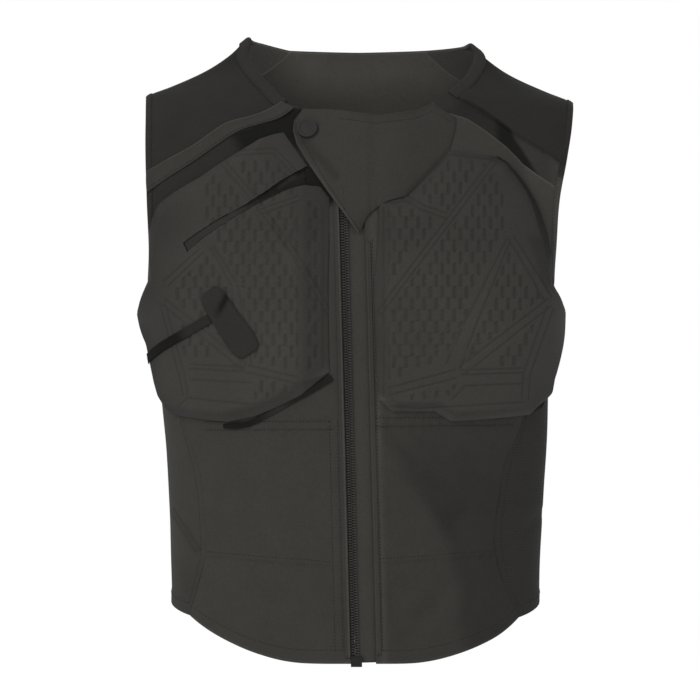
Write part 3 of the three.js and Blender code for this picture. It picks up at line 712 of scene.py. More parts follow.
CHARCOAL = (0.0282, 0.0274, 0.0245)
MAIN_CLOTH = ClothFinish("charcoal_cloth", "main_cloth", CHARCOAL, Weave.PLAIN, 0.0012, 0.00012)
PAD_CLOTH = ClothFinish(
    "pad_facing", "pad_foam", (0.0301, 0.0292, 0.0263), Weave.PLAIN, 0.001, 0.0001, mottle=0.08
)
KNIT = ClothFinish("dark_knit", "yoke_knit", (0.0171, 0.0165, 0.015), Weave.KNIT, 0.0014, 0.0001)
RIBBED = ClothFinish(
    "ribbed_stretch", "yoke_knit", (0.0186, 0.0181, 0.0167), Weave.RIB, 0.0026, 0.00012, contrast=0.08
)
WEBBING = ClothFinish(
    "black_webbing", "webbing", (0.0085, 0.0082, 0.0076), Weave.TWILL, 0.0022, 0.0003, specular=0.07
)
TAB_CLOTH = ClothFinish(
    "tab_cloth", "webbing", (0.0163, 0.0155, 0.0141), Weave.PLAIN, 0.0009, 0.00006, contrast=0.05
)
TAPE = ClothFinish("zip_tape", "zip_plastic", (0.0324, 0.0315, 0.0283), Weave.TWILL, 0.0014, 0.00014)
THREAD = ClothFinish(
    "sewing_thread", "main_cloth", (0.0055, 0.0054, 0.005), Weave.TWILL, 0.0008, 0.00005, sheen=0.05
)
ZIP_PLASTIC = MouldedFinish("moulded_zip", "zip_plastic", (0.035, 0.034, 0.0311), (0.5, 0.7), 0.1)
ZIP_BOX = MouldedFinish("zip_box", "zip_plastic", (0.012, 0.0117, 0.011), (0.5, 0.7), 0.1)
ENAMEL = MouldedFinish("snap_enamel", "snap_cap", (0.0161, 0.0157, 0.0142), (0.55, 0.75), 0.15)


class Maker:
    """Turns worked-out points into the vest's mesh objects."""

    @staticmethod
    def mesh_object(
        name: str,
        points: Array,
        faces: list,
        finish: Finish,
        charts: Array | None = None,
        tone: Array | None = None,
    ) -> Piece:
        """A mesh object in its place.

        Args:
            name: The piece's name.
            points: Corners, in millimetres.
            faces: Corner numbers of each face, turned outward.
            finish: The finish it takes.
            charts: Map of the cloth at each corner, in millimetres.
            tone: Shade of the cloth at each corner.

        Returns:
            The new object.
        """
        mesh = bpy.data.meshes.new(f"{name}_dressed")
        mesh.from_pydata((points * MM).tolist(), [], faces)
        mesh.polygons.foreach_set("use_smooth", np.ones(len(mesh.polygons), bool))
        corner = np.zeros(len(mesh.loops), int)
        mesh.loops.foreach_get("vertex_index", corner)
        flat = points[:, [0, 2]] if charts is None else charts
        mesh.uv_layers.new(name="cloth").data.foreach_set("uv", (flat * MM)[corner].ravel())
        shade = np.ones(len(points)) if tone is None else tone
        mesh.attributes.new("tone", "FLOAT", "POINT").data.foreach_set("value", shade.astype(np.float32))
        mesh.materials.append(finish.material())
        mesh.update()
        made = bpy.data.objects.new(mesh.name, mesh)
        bpy.context.scene.collection.objects.link(made)
        return made

    @staticmethod
    def outward(points: Array, quads: Array) -> Array:
        """The same faces, turned so that a closed shell looks outward."""
        a, b, c, d = (points[quads[:, k]] for k in range(4))
        volume = np.sum(a * np.cross(b, c)) + np.sum(a * np.cross(c, d))
        return quads if volume > 0 else quads[:, ::-1]

    @classmethod
    def shell(
        cls,
        name: str,
        places: Places,
        low: Array,
        high: Array,
        tone: Array,
        finish: Finish,
        round_off: float = EDGE_ROUND,
        painted_inner_light: Array | float = 1.0,
    ) -> Piece:
        """A sheet of two skins over one net, closed and rounded off round its rim.

        Args:
            name: The piece's name.
            places: The net's places.
            low: Height of the inner skin over the body.
            high: Height of the outer skin over the body.
            tone: Shade at each place.
            finish: The finish it takes.
            round_off: Share of the thickness that each skin gives up at the rim.
            painted_inner_light: Painted light on the inner skin, as a factor against the outer skin's shade.

        Returns:
            The new object.
        """
        nv, nu = low.shape
        rim = np.zeros((nv, nu))
        rim[[0, -1], :] = rim[:, [0, -1]] = round_off
        thick = high - low
        skins = [FORM.lay(places.chart, low + rim * thick), FORM.lay(places.chart, high - rim * thick)]
        points = np.concatenate([skin.reshape(-1, 3) for skin in skins])
        ids = np.arange(2 * nv * nu).reshape(2, nv, nu)
        quads = []
        for skin, turn in ((ids[0], -1), (ids[1], 1)):
            ring = np.stack([skin[:-1, :-1], skin[:-1, 1:], skin[1:, 1:], skin[1:, :-1]], axis=-1)
            quads.append(ring.reshape(-1, 4)[:, ::turn])
        edge = np.concatenate([ids[:, 0, :-1], ids[:, :-1, -1], ids[:, -1, :0:-1], ids[:, :0:-1, 0]], axis=1)
        ahead = np.roll(edge, -1, axis=1)
        quads.append(np.stack([edge[0], ahead[0], ahead[1], edge[1]], axis=-1))
        faces = cls.outward(points, np.concatenate(quads))
        flat = np.stack([places.from_start, places.body[..., 2]], axis=-1).reshape(-1, 2)
        charts, shade = np.concatenate([flat, flat]), np.ravel([tone * painted_inner_light, tone])
        made = cls.mesh_object(name, points, faces.tolist(), finish, charts, shade)
        made.data.set_sharp_from_angle(angle=SHARP)
        return made

    @classmethod
    def strip(
        cls,
        name: str,
        line: Array,
        section: Array,
        finish: Finish,
        closed: bool = False,
        seat: Array | float = 0.0,
        tone: Array | None = None,
    ) -> Piece:
        """A strip with one closed section swept along a line of the chart.

        Args:
            name: The piece's name.
            line: Chart places along the strip.
            section: Offsets across the line and heights, one closed outline, or one for each place.
            finish: The finish it takes.
            closed: Whether the line comes back to its start.
            seat: Height over the body that the section stands on.
            tone: Shade at each place of the line, or at each corner of each section.

        Returns:
            The new object.
        """
        base = FORM.point(line)
        up, across = FORM.frame(base, closed)
        count = len(line)
        outline = np.broadcast_to(section, (count, *np.shape(section)[-2:]))
        lift = outline[..., 1] + np.broadcast_to(np.asarray(seat, float), (count,))[:, None]
        points = base[:, None] + across[:, None] * outline[..., :1] + up[:, None] * lift[..., None]
        corners = outline.shape[1]
        ids = np.arange(count * corners).reshape(count, corners)
        ring = ids if not closed else np.concatenate([ids, ids[:1]])
        side = np.roll(ring, -1, axis=1)
        quads = np.stack([ring[:-1], side[:-1], side[1:], ring[1:]], axis=-1).reshape(-1, 4)
        flat_points = points.reshape(-1, 3)
        turned = cls.outward(flat_points, quads)
        faces = turned.tolist()
        if not closed:
            flip = 1 if np.array_equal(turned, quads) else -1
            faces += [ids[0][::-flip].tolist(), ids[-1][::flip].tolist()]
        reach = run_lengths(base)
        charts = np.stack([outline[..., 0], np.repeat(reach[:, None], corners, axis=1)], axis=-1)
        if tone is not None:
            tone = np.broadcast_to(np.reshape(tone, (count, -1)), (count, corners)).ravel()
        return cls.mesh_object(name, flat_points, faces, finish, charts.reshape(-1, 2), tone)


def settle(piece: Piece, finish: Finish, *nodes: str) -> Piece:
    """Lets a piece ride on the vest and stand for solids, and reports it."""
    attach(piece, BODY)
    if nodes:
        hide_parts(*nodes)
    LOG.info("%s: %d faces", piece.name, len(piece.data.polygons))
    return piece


def declare_sheet(places: Places) -> None:
    """Works out the flat size and area that a piece's net measures; nothing uses them."""
    width = float(places.from_start[:, -1].max()) * MM
    length = float(places.from_low[-1].max()) * MM
    body = places.body
    one, two = body[1:, 1:] - body[:-1, :-1], body[1:, :-1] - body[:-1, 1:]
    area = 0.5 * float(np.linalg.norm(np.cross(one, two), axis=-1).sum()) * MM * MM
    area = min(area, width * length)


def lay_cloth(
    name: str,
    places: Places,
    low: Array,
    high: Array,
    tone: Array,
    finish: Finish,
    painted_inner_light: Array | float = 1.0,
    rests_on: Sequence[str] = (),
) -> Piece:
    """A sheet of cloth that is sewn in, or laid on other pieces.

    Args:
        name: The name of the piece and of its solid.
        places: The net's places.
        low: Height of the inner skin over the body.
        high: Height of the outer skin over the body.
        tone: Shade at each place.
        finish: The finish it takes.
        painted_inner_light: Painted light on the inner skin, as a factor against the outer skin's shade.
        rests_on: Solids that it is laid on, if it isn't sewn in; only whether any are given is read, to
            choose the rounding.

    Returns:
        The new object.
    """
    round_off = EDGE_ROUND if rests_on else SEAM_ROUND
    made = Maker.shell(name, places, low, high, tone, finish, round_off, painted_inner_light)
    settle(made, finish, name)
    declare_sheet(places)
    return made


@dataclass(frozen=True)
class Pattern:
    """Seams and edges that neighbouring pieces share."""

    armhole_top: float = -56.0
    armhole_bottom: float = -240.4
    armhole_corner: float = -228.0
    armhole: tuple[Row, ...] = rows(
        (200.6, -241), (199.5, -228), (199.8, -184), (202, -150), (205.5, -120), (208.5, -90), (211, -56)
    )
    zip_top: Row = Row(-16.4, -72)
    zip_foot: Row = Row(-2.6, -612)
    hem_front: tuple[Row, ...] = rows((60, -611), (97, -603), (135, -587))
    hem_side: float = -556.0
    hem_back: tuple[Row, ...] = rows((97, -586), (0, -596), (-97, -586))
    side: dict[Side, tuple[Row, ...]] = by_side(
        right=rows(
            (165, -567), (156, -533), (149, -507), (150, -463), (156, -422), (171, -373), (186, -295)
        ),
        left=rows(
            (157, -569), (142, -534), (133, -493), (137, -448), (145, -410), (157, -385), (178, -295)
        ),
    )
    back_seam: tuple[Row, ...] = rows((160, -560), (150, -500), (152, -430), (170, -350), (188, -285))
    yoke: dict[Side, tuple[Row, ...]] = by_side(
        right=rows((45, -75), (72, -103), (120, -130), (155, -150)),
        left=rows(
            (73, -61), (84, -70.5), (107, -77.6), (125, -89.6), (146, -106), (162, -123), (176, -133)
        ),
    )
    # Levels at which the lower front edge of a yoke, and its rear edge, meet the armhole.
    yoke_end: dict[Side, float] = by_side(-184.0, -147.0)
    yoke_back: float = -95.0
    neck_front: dict[Side, tuple[Row, ...]] = by_side(
        right=rows((45, -75), (60, -66), (73, -59), (87, -45), (101, -28.5), (109.5, -12), (107.4, 4.4)),
        left=rows((73, -61), (89, -52), (104.4, -38.7), (114, -23), (117, -12), (113.6, -0.8)),
    )
    neck_back: dict[Side, tuple[Row, ...]] = by_side(
        right=rows((98, 2), (68, -4)),
        left=rows((100, -2.5), (68, -4)),
    )
    neck_middle: float = -5.0

    def zip_x(self, z: Array) -> Array:
        """Where the middle of the zip stands at given levels."""
        share = (z - self.zip_top.z) / (self.zip_foot.z - self.zip_top.z)
        return self.zip_top.x + (self.zip_foot.x - self.zip_top.x) * share

    def zip_run(self, offset: float, top: float, foot: float, step: float = 4.0) -> Array:
        """Chart places beside the zip, from its foot up."""
        z = np.linspace(foot, top, max(int((top - foot) / step), 2) + 1)
        return FORM.chart(Side.LEFT, self.zip_x(z) + offset, z)

    def side_seam(self, side: Side) -> Line:
        """The seam between a front panel and a side panel, from the hem up."""
        front = FORM.seam(side, self.side[side])
        return Line.smooth(np.vstack([front, self.armhole_at(side, self.armhole_corner)]))

    def rear_seam(self, side: Side) -> Line:
        """The seam between a side panel and the back, from the hem up."""
        table = np.asarray(self.back_seam)
        rear = FORM.upright(side, table[:, 0], table[:, 1], back=True)
        return Line.smooth(np.vstack([rear, self.armhole_at(side, self.armhole_corner, True)]))

    def yoke_seam(self, side: Side) -> Array:
        """Chart places of the lower front edge of a shoulder yoke, from the neck out."""
        front = FORM.seam(side, self.yoke[side])
        return np.vstack([front, self.armhole_at(side, self.yoke_end[side])])

    def neck(self, side: Side) -> Line:
        """The neck edge of a yoke, from the front to the back."""
        front = FORM.seam(side, self.neck_front[side])
        return Line.smooth(np.concatenate([front, FORM.seam(side, self.neck_back[side], back=True)]))

    @property
    def armhole_span(self) -> tuple[float, float]:
        """Middle level and half height of an armhole."""
        top, bottom = self.armhole_top, self.armhole_bottom
        return (top + bottom) / 2, (top - bottom) / 2

    def armhole_run(self, side: Side, start: float, end: float, count: int = 90) -> Array:
        """Chart places round an armhole, by turns from its top through the front."""
        turn = np.mod(np.linspace(start, end, count + 1), 1.0)
        middle, half = self.armhole_span
        z = middle + half * np.cos(2 * np.pi * turn)
        table = np.asarray(self.armhole, float)
        x = hermite(table[:, 1], table[:, :1], z)[:, 0]
        edge = np.isclose(turn, 0.0) | np.isclose(turn, 0.5)
        x = np.where(edge, FORM.section(z)[0], x)
        front = FORM.upright(side, x, z)
        rear = FORM.upright(side, x, z, back=True)
        return np.where((turn > 0.5)[:, None], rear, front)

    def armhole_at(self, side: Side, z: float, back: bool = False) -> Array:
        """The chart place at which an armhole's edge reaches a level."""
        turn = self.armhole_turn(z, back)
        return self.armhole_run(side, turn, turn, 1)[0]

    def armhole_turn(self, z: float, back: bool = False) -> float:
        """The turn at which an armhole's edge reaches a level."""
        middle, half = self.armhole_span
        turn = math.acos((z - middle) / half) / (2 * math.pi)
        return 1 - turn if back else turn


PATTERN = Pattern()


@dataclass
class Stitching:
    """Rows of sewing thread, each stitch a small lozenge seated on the cloth below it."""

    pitch: float = 3.4
    close_pitch: float = 3.0
    length: float = 2.2
    width: float = 1.15
    height: float = 0.25
    # Height over the body that the cloth is sought from, and places that a row is measured at.
    sought_from: float = 45.0
    samples: int = 400
    points: list[Array] = field(default_factory=list)
    trees: dict[str, BVHTree] = field(default_factory=dict)

    def sew(self, line: Array, cloth: Sequence[Piece], pitch: float | None = None) -> None:
        """Adds a row of stitches.

        Args:
            line: Chart places along the row.
            cloth: Pieces that the row may lie on; the outermost one carries it.
            pitch: Spacing of the stitches, where it differs.
        """
        path = Line(line)
        base = FORM.point(path.at(np.linspace(0, 1, self.samples)))
        reach = run_lengths(base)
        count = max(int(reach[-1] / (pitch or self.pitch)), 1)
        middles = (np.arange(count) + 0.5) / count * reach[-1]
        spots = np.interp(middles, reach, np.linspace(0, 1, self.samples))
        chart = path.at(spots)
        ahead, behind = FORM.point(path.at(spots + 0.002)), FORM.point(path.at(spots - 0.002))
        start = FORM.lay(chart, self.sought_from)
        inward = -FORM.outward(FORM.point(chart))
        trees = [self.tree(piece) for piece in cloth]
        for origin, way, step in zip(start, inward, ahead - behind):
            hits = [tree.ray_cast(Vector(origin * MM), Vector(way)) for tree in trees]
            found = min((hit for hit in hits if hit[0] is not None), key=lambda hit: hit[3], default=None)
            if found is not None:
                self.stitch(np.array(found[0]) / MM, np.array(found[1]), step)

    def tree(self, piece: Piece) -> BVHTree:
        """A search tree of a piece's faces, kept for the next row."""
        if piece.name not in self.trees:
            corners = [vertex.co for vertex in piece.data.vertices]
            faces = [tuple(face.vertices) for face in piece.data.polygons]
            self.trees[piece.name] = BVHTree.FromPolygons(corners, faces)
        return self.trees[piece.name]

    def stitch(self, place: Array, up: Array, run: Array) -> None:
        """Adds one stitch at a place on the cloth."""
        along = run - up * np.dot(run, up)
        along /= np.linalg.norm(along) + 1e-9
        across = np.cross(up, along)
        middle = place + up * 0.08
        ahead, beside = along * self.length / 2, across * self.width / 2
        ring = [middle - ahead, middle - beside, middle + ahead, middle + beside]
        self.points.append(np.stack([*ring, middle + up * self.height, middle - up * 0.1]))

    def build(self, name: str, finish: Finish) -> Piece:
        """The rows as one object."""
        upper = [[0, 1, 4], [1, 2, 4], [2, 3, 4], [3, 0, 4]]
        lower = [[1, 0, 5], [2, 1, 5], [3, 2, 5], [0, 3, 5]]
        facets = np.array(upper + lower)
        offsets = 6 * np.arange(len(self.points))[:, None, None]
        faces = (facets[None] + offsets).reshape(-1, 3)
        made = Maker.mesh_object(name, np.concatenate(self.points), faces.tolist(), finish)
        return settle(made, finish)


@dataclass
class FrontPanels:
    """The two front panels with their folds, seams and hem."""

    step: float = 2.2
    zip_right_edge: float = 4.4
    zip_left_edge: float = 20.0
    top: float = -82.0
    under_flap: Row = Row(58, -78)
    folds: tuple[Fold, ...] = (
        Fold(20, -387, 96, -470, 13, -4.2),
        Fold(96, -470, 104, -524, 14, -3.2),
        Fold(44, -400, 116, -450, 15, 4.0),
        Fold(24, -520, 34, -566, 9, -2.5),
        Fold(90, -538, 46, -589, 11, -2.4),
        Fold(118, -536, 106, -573, 10, -2.5),
        Fold(-60, -430, -80, -500, 24, 1.5),
        Fold(-120, -520, -100, -580, 18, 1.2),
    )
    # Finer creases that run out of the seams.
    creases: tuple[Fold, ...] = (
        Fold(117, -386, 134, -398, 5, -0.9),
        Fold(24, -392, 60, -418, 5, -0.8),
        Fold(22, -545, 24, -602, 4, -0.7),
        Fold(60, -520, 78, -556, 6, -0.8),
        Fold(-40, -389, -70, -410, 6, -0.6),
        Fold(-130, -440, -142, -486, 8, -0.7),
        Fold(-60, -524, -48, -560, 7, -0.7),
        Fold(-96, -520, -84, -548, 6, -0.6),
    )
    waist: dict[Side, tuple[tuple[Row, Row], ...]] = by_side(
        right=((Row(-150, -375.5), Row(-27, -374.4)), (Row(-150, -383.5), Row(-25, -382.7))),
        left=((Row(12.5, -371.5), Row(152, -370.5)), (Row(13, -380), Row(151, -378.6))),
    )
    lower_seam: dict[Side, tuple[Row, Row]] = by_side(
        right=(Row(-148, -508), Row(-23, -517)),
        left=(Row(16, -514), Row(132, -507)),
    )
    # Line on the wearer's left panel past which painted fold shadow falls.
    ridge: tuple[Row, ...] = rows((14, -378), (86, -496), (97, -550), (100, -612))
    zip_rows: dict[Side, tuple[float, ...]] = by_side((-19.5, -11.8), (27.0,))
    zip_row_top: dict[Side, float] = by_side(-374, -196)
    zip_row_foot: float = -600
    seam_row: float = 4.6

    def net(self, side: Side) -> Net:
        """The net of one panel between hem, yoke, zip and side seam."""
        offset = -self.zip_right_edge if side is Side.RIGHT else self.zip_left_edge
        zip_edge = PATTERN.zip_run(offset, self.top, PATTERN.zip_foot.z)
        seam = PATTERN.side_seam(side)
        low = Line.smooth(np.concatenate([zip_edge[:1], FORM.seam(side, PATTERN.hem_front), seam.points[:1]]))
        under = FORM.seam(side, [self.under_flap])[: 0 if side is Side.RIGHT else 1]
        top = Line(np.concatenate([zip_edge[-1:], under, PATTERN.yoke_seam(side)]))
        first, last = (PATTERN.armhole_turn(z) for z in (PATTERN.armhole_corner, PATTERN.yoke_end[side]))
        rim = PATTERN.armhole_run(side, first, last, 30)
        return Net(low, top, Line(zip_edge), Line(np.concatenate([seam.points[:-1], rim])))

    def rise(self, side: Side, p: Places) -> Array:
        """Rise of the cloth by folds, seams and puckers."""
        clear = rising(np.abs(p.x - PATTERN.zip_x(p.z)), 28, 16)
        swell = 0.5 * p.ripple(34.0) * falling(p.z, -385, 40)
        rise = (p.folds(self.folds) + p.folds(self.creases) + swell) * clear
        for line in (*self.waist[side], self.lower_seam[side]):
            off, along = to_path(p.front, line)
            rise += 0.28 * np.sin(along / 1.7 + 2.0 * np.sin(along / 9.0)) * bell(off, 7.0) * clear
        return rise

    def skin(self, side: Side, p: Places) -> Array:
        """Thickness of the cloth: double at the hem, drawn in along seams and stitch rows."""
        thick = CLOTH + p.hem_fold()
        for line in self.waist[side]:
            thick -= 0.45 * bell(to_path(p.front, line)[0], 1.1)
        off, _ = to_path(p.front, self.lower_seam[side])
        above = ease((p.z - np.mean([row.z for row in self.lower_seam[side]]) + 6) / 5)
        thick += 0.3 * bell(off - 2.4, 2.0) * above - 0.4 * bell(off, 0.9)
        beside = p.x - PATTERN.zip_x(p.z)
        for offset in self.zip_rows[side]:
            thick -= 0.5 * bell(beside - offset, 0.9)
        return np.maximum(thick, 0.6)

    def tone(self, side: Side, p: Places) -> Array:
        """Shade: dark in the seams, painted shadow under the pads and the flap and past the left panel's
        ridge, and painted light beside the zip, below the pad, at the armhole, along the hem and as a
        highlight along the top edge of the wearer's left panel.
        """
        shade = 1.0 - 0.12 * bell(to_path(p.front, self.lower_seam[side])[0], 1.2)
        for line in self.waist[side]:
            shade -= 0.14 * bell(to_path(p.front, line)[0], 1.2)
        x, z = p.x, p.z
        if side is Side.RIGHT:
            # Painted shadow on the right panel where it runs under the pads and the flap, and painted light
            # in the gap beside the flap.
            shade *= 1.0 - 0.8 * rising(z, -168, 10)
            shade += 0.35 * bell(np.hypot(x + 57, z + 116), 9.0)
        else:
            ridge = np.interp(-z, [-row.z for row in self.ridge], [row.x for row in self.ridge])
            # Painted fold shadow past the ridge, and the panel a little darker toward the hem.
            past_ridge = rising(x - ridge, -6, 20) * falling(z, -365, 20)
            shade *= 0.975 - 0.05 * falling(z, -410, 30) - 0.24 * past_ridge
            # Painted light that lifts the shade beside the placket, below the pad and at the armhole.
            beside_zip, below_pad = bell(x - PATTERN.zip_x(z) - 28, 3.5), bell(z + 384, 17.0)
            at_armhole = rising(x, 158, 12) * rising(z, -232, 12)
            shade += 0.3 * beside_zip + 0.13 * below_pad + 0.22 * at_armhole
            # Painted highlight along the top edge of the panel's outer part.
            shade += 0.75 * bell(p.from_top, 1.3) * (x > 70)
        # Painted light along the hem's edge.
        return shade + 0.35 * (1 - ease(p.from_low / 3))

    def build(self) -> dict[Side, Piece]:
        """Builds both panels."""
        made = {}
        for side in Side:
            p = self.net(side).grid(self.step)
            low = self.rise(side, p)
            high, tone = low + self.skin(side, p), self.tone(side, p)
            made[side] = lay_cloth(side.named("front_panel"), p, low, high, tone, MAIN_CLOTH)
        return made

    def sew(self, panels: dict[Side, Piece], thread: Stitching) -> None:
        """Sews the hem, the waist rows, the lower seam and the rows beside the zip."""
        for side, panel in panels.items():
            net = self.net(side)
            us = np.linspace(0.02, 0.985, 120)
            thread.sew(net.row(HEM / net.tall, us), [panel])
            lines = [(*line, 0.0) for line in self.waist[side]]
            for start, end, lift in (*lines, (*self.lower_seam[side], self.seam_row)):
                x = np.linspace(start.x, end.x, 80)
                z = np.linspace(start.z, end.z, 80) + lift
                thread.sew(FORM.chart(Side.LEFT, x, z), [panel])
            for offset in self.zip_rows[side]:
                row = PATTERN.zip_run(offset, self.zip_row_top[side], self.zip_row_foot)
                thread.sew(row, [panel])


@dataclass
class SidePanels:
    """The two side panels: smooth cloth on the right, ribbed stretch cloth on the left."""

    step: float = 2.2
    seam_pair: tuple[Row, Row] = rows((-181, -462), (-155, -502))
    pair_gap: float = 5.5
    crease: Fold = Fold(180, -467, 148, -500, 5, -1.2)

    def net(self, side: Side) -> Net:
        """The net of one panel between the front and the back seam."""
        front, rear = PATTERN.side_seam(side), PATTERN.rear_seam(side)
        middle = FORM.round(side, Round(0.0, PATTERN.hem_side))
        low = Line.smooth(np.stack([front.at(0.0), middle, rear.at(0.0)]))
        turn = PATTERN.armhole_turn(PATTERN.armhole_corner)
        top = Line(PATTERN.armhole_run(side, turn, PATTERN.armhole_turn(PATTERN.armhole_corner, True), 40))
        return Net(low, top, front, rear)

    def build(self) -> dict[Side, Piece]:
        """Builds both panels."""
        made = {}
        for side in Side:
            p = self.net(side).grid(self.step)
            low = 0.5 * p.ripple(30.0) * ease(p.near_rim() / 25)
            high = low + CLOTH + p.hem_fold()
            tone = p.seam_shade()
            if side is Side.RIGHT:
                for shift in (0.0, self.pair_gap):
                    path = [(row.x - shift * 0.6, row.z - shift * 0.6) for row in self.seam_pair]
                    off = np.where(p.y < 0, to_path(p.front, path)[0], 99.0)
                    high -= 0.7 * bell(off, 1.0)
                    tone -= 0.25 * bell(off, 1.2)
                tone -= 0.12 * falling(p.body[..., 2], -500, 30)
            else:
                # Painted shade, darker as the ribbed panel turns toward the back.
                tone -= 0.18 * rising(p.y, -70, 50)
                drop = p.folds([self.crease])
                low, high = low + drop, high + drop
            finish = MAIN_CLOTH if side is Side.RIGHT else RIBBED
            made[side] = lay_cloth(side.named("side_panel"), p, low, high, tone, finish)
        return made

    def sew(self, panels: dict[Side, Piece], thread: Stitching) -> None:
        """Sews the hems and a row along each seam."""
        for side, panel in panels.items():
            net = self.net(side)
            thread.sew(net.row(HEM / net.tall, np.linspace(0.03, 0.97, 60)), [panel])
            for u in (0.035, 0.965):
                thread.sew(net.column(u, np.linspace(0.03, 0.98, 90)), [panel])


@dataclass
class BackPanel:
    """The back in one plain piece, with soft swells and a stitched hem."""

    step: float = 2.6
    # Painted light on the inner skin, which shows through the neck, against the shade inside.
    painted_inner_light: float = 2.2

    def net(self) -> Net:
        """The net between hem, neck, yokes and the two rear seams."""
        start, end = self.edge(Side.LEFT), self.edge(Side.RIGHT)
        hem = FORM.seam(Side.LEFT, PATTERN.hem_back, back=True)
        low = Line.smooth(np.concatenate([[start.at(0.0)], hem, [end.at(0.0)]]))
        corner = PATTERN.neck_back[Side.LEFT][-1]
        x = np.array([corner.x, 0.0, -corner.x])
        z = np.array([corner.z, PATTERN.neck_middle, corner.z])
        neck = FORM.chart(Side.LEFT, x, z, back=True)
        return Net(low, Line(np.concatenate([[start.at(1.0)], neck, [end.at(1.0)]])), start, end)

    def edge(self, side: Side) -> Line:
        """The rear seam and the armhole above it, with girth counted on past the back."""
        turn = PATTERN.armhole_turn(PATTERN.armhole_corner, True)
        rim = PATTERN.armhole_run(side, turn, PATTERN.armhole_turn(PATTERN.yoke_back, True), 30)
        points = np.concatenate([PATTERN.rear_seam(side).points[:-1], rim])
        points[:, 0] += np.where(points[:, 0] < 0, FORM.girth, 0.0)
        return Line(points)

    def build(self) -> Piece:
        """Builds the panel."""
        p = self.net().grid(self.step)
        swell = p.ripple(46.0) * ease(p.near_rim() / 40)
        low = 0.9 * swell - 1.6 * bell(p.body[..., 0], 26.0) * falling(p.body[..., 2], -300, 90)
        low *= ease(p.near_rim() / 12)
        high = low + CLOTH + p.hem_fold()
        tone = p.seam_shade()
        # Painted light on the inner skin, more toward the wearer's right, and painted shade on it lower down.
        inside = self.painted_inner_light + 0.7 * bell(p.body[..., 0] + 62, 30.0)
        inside = inside * (1.0 - 0.24 * falling(p.body[..., 2], -30, 30))
        return lay_cloth("back_panel", p, low, high, tone, MAIN_CLOTH, inside)

    def sew(self, panel: Piece, thread: Stitching) -> None:
        """Sews the hem and a row along each seam."""
        net = self.net()
        thread.sew(net.row(HEM / net.tall, np.linspace(0.02, 0.98, 160)), [panel])
        for u in (0.012, 0.988):
            thread.sew(net.column(u, np.linspace(0.03, 0.72, 90)), [panel])


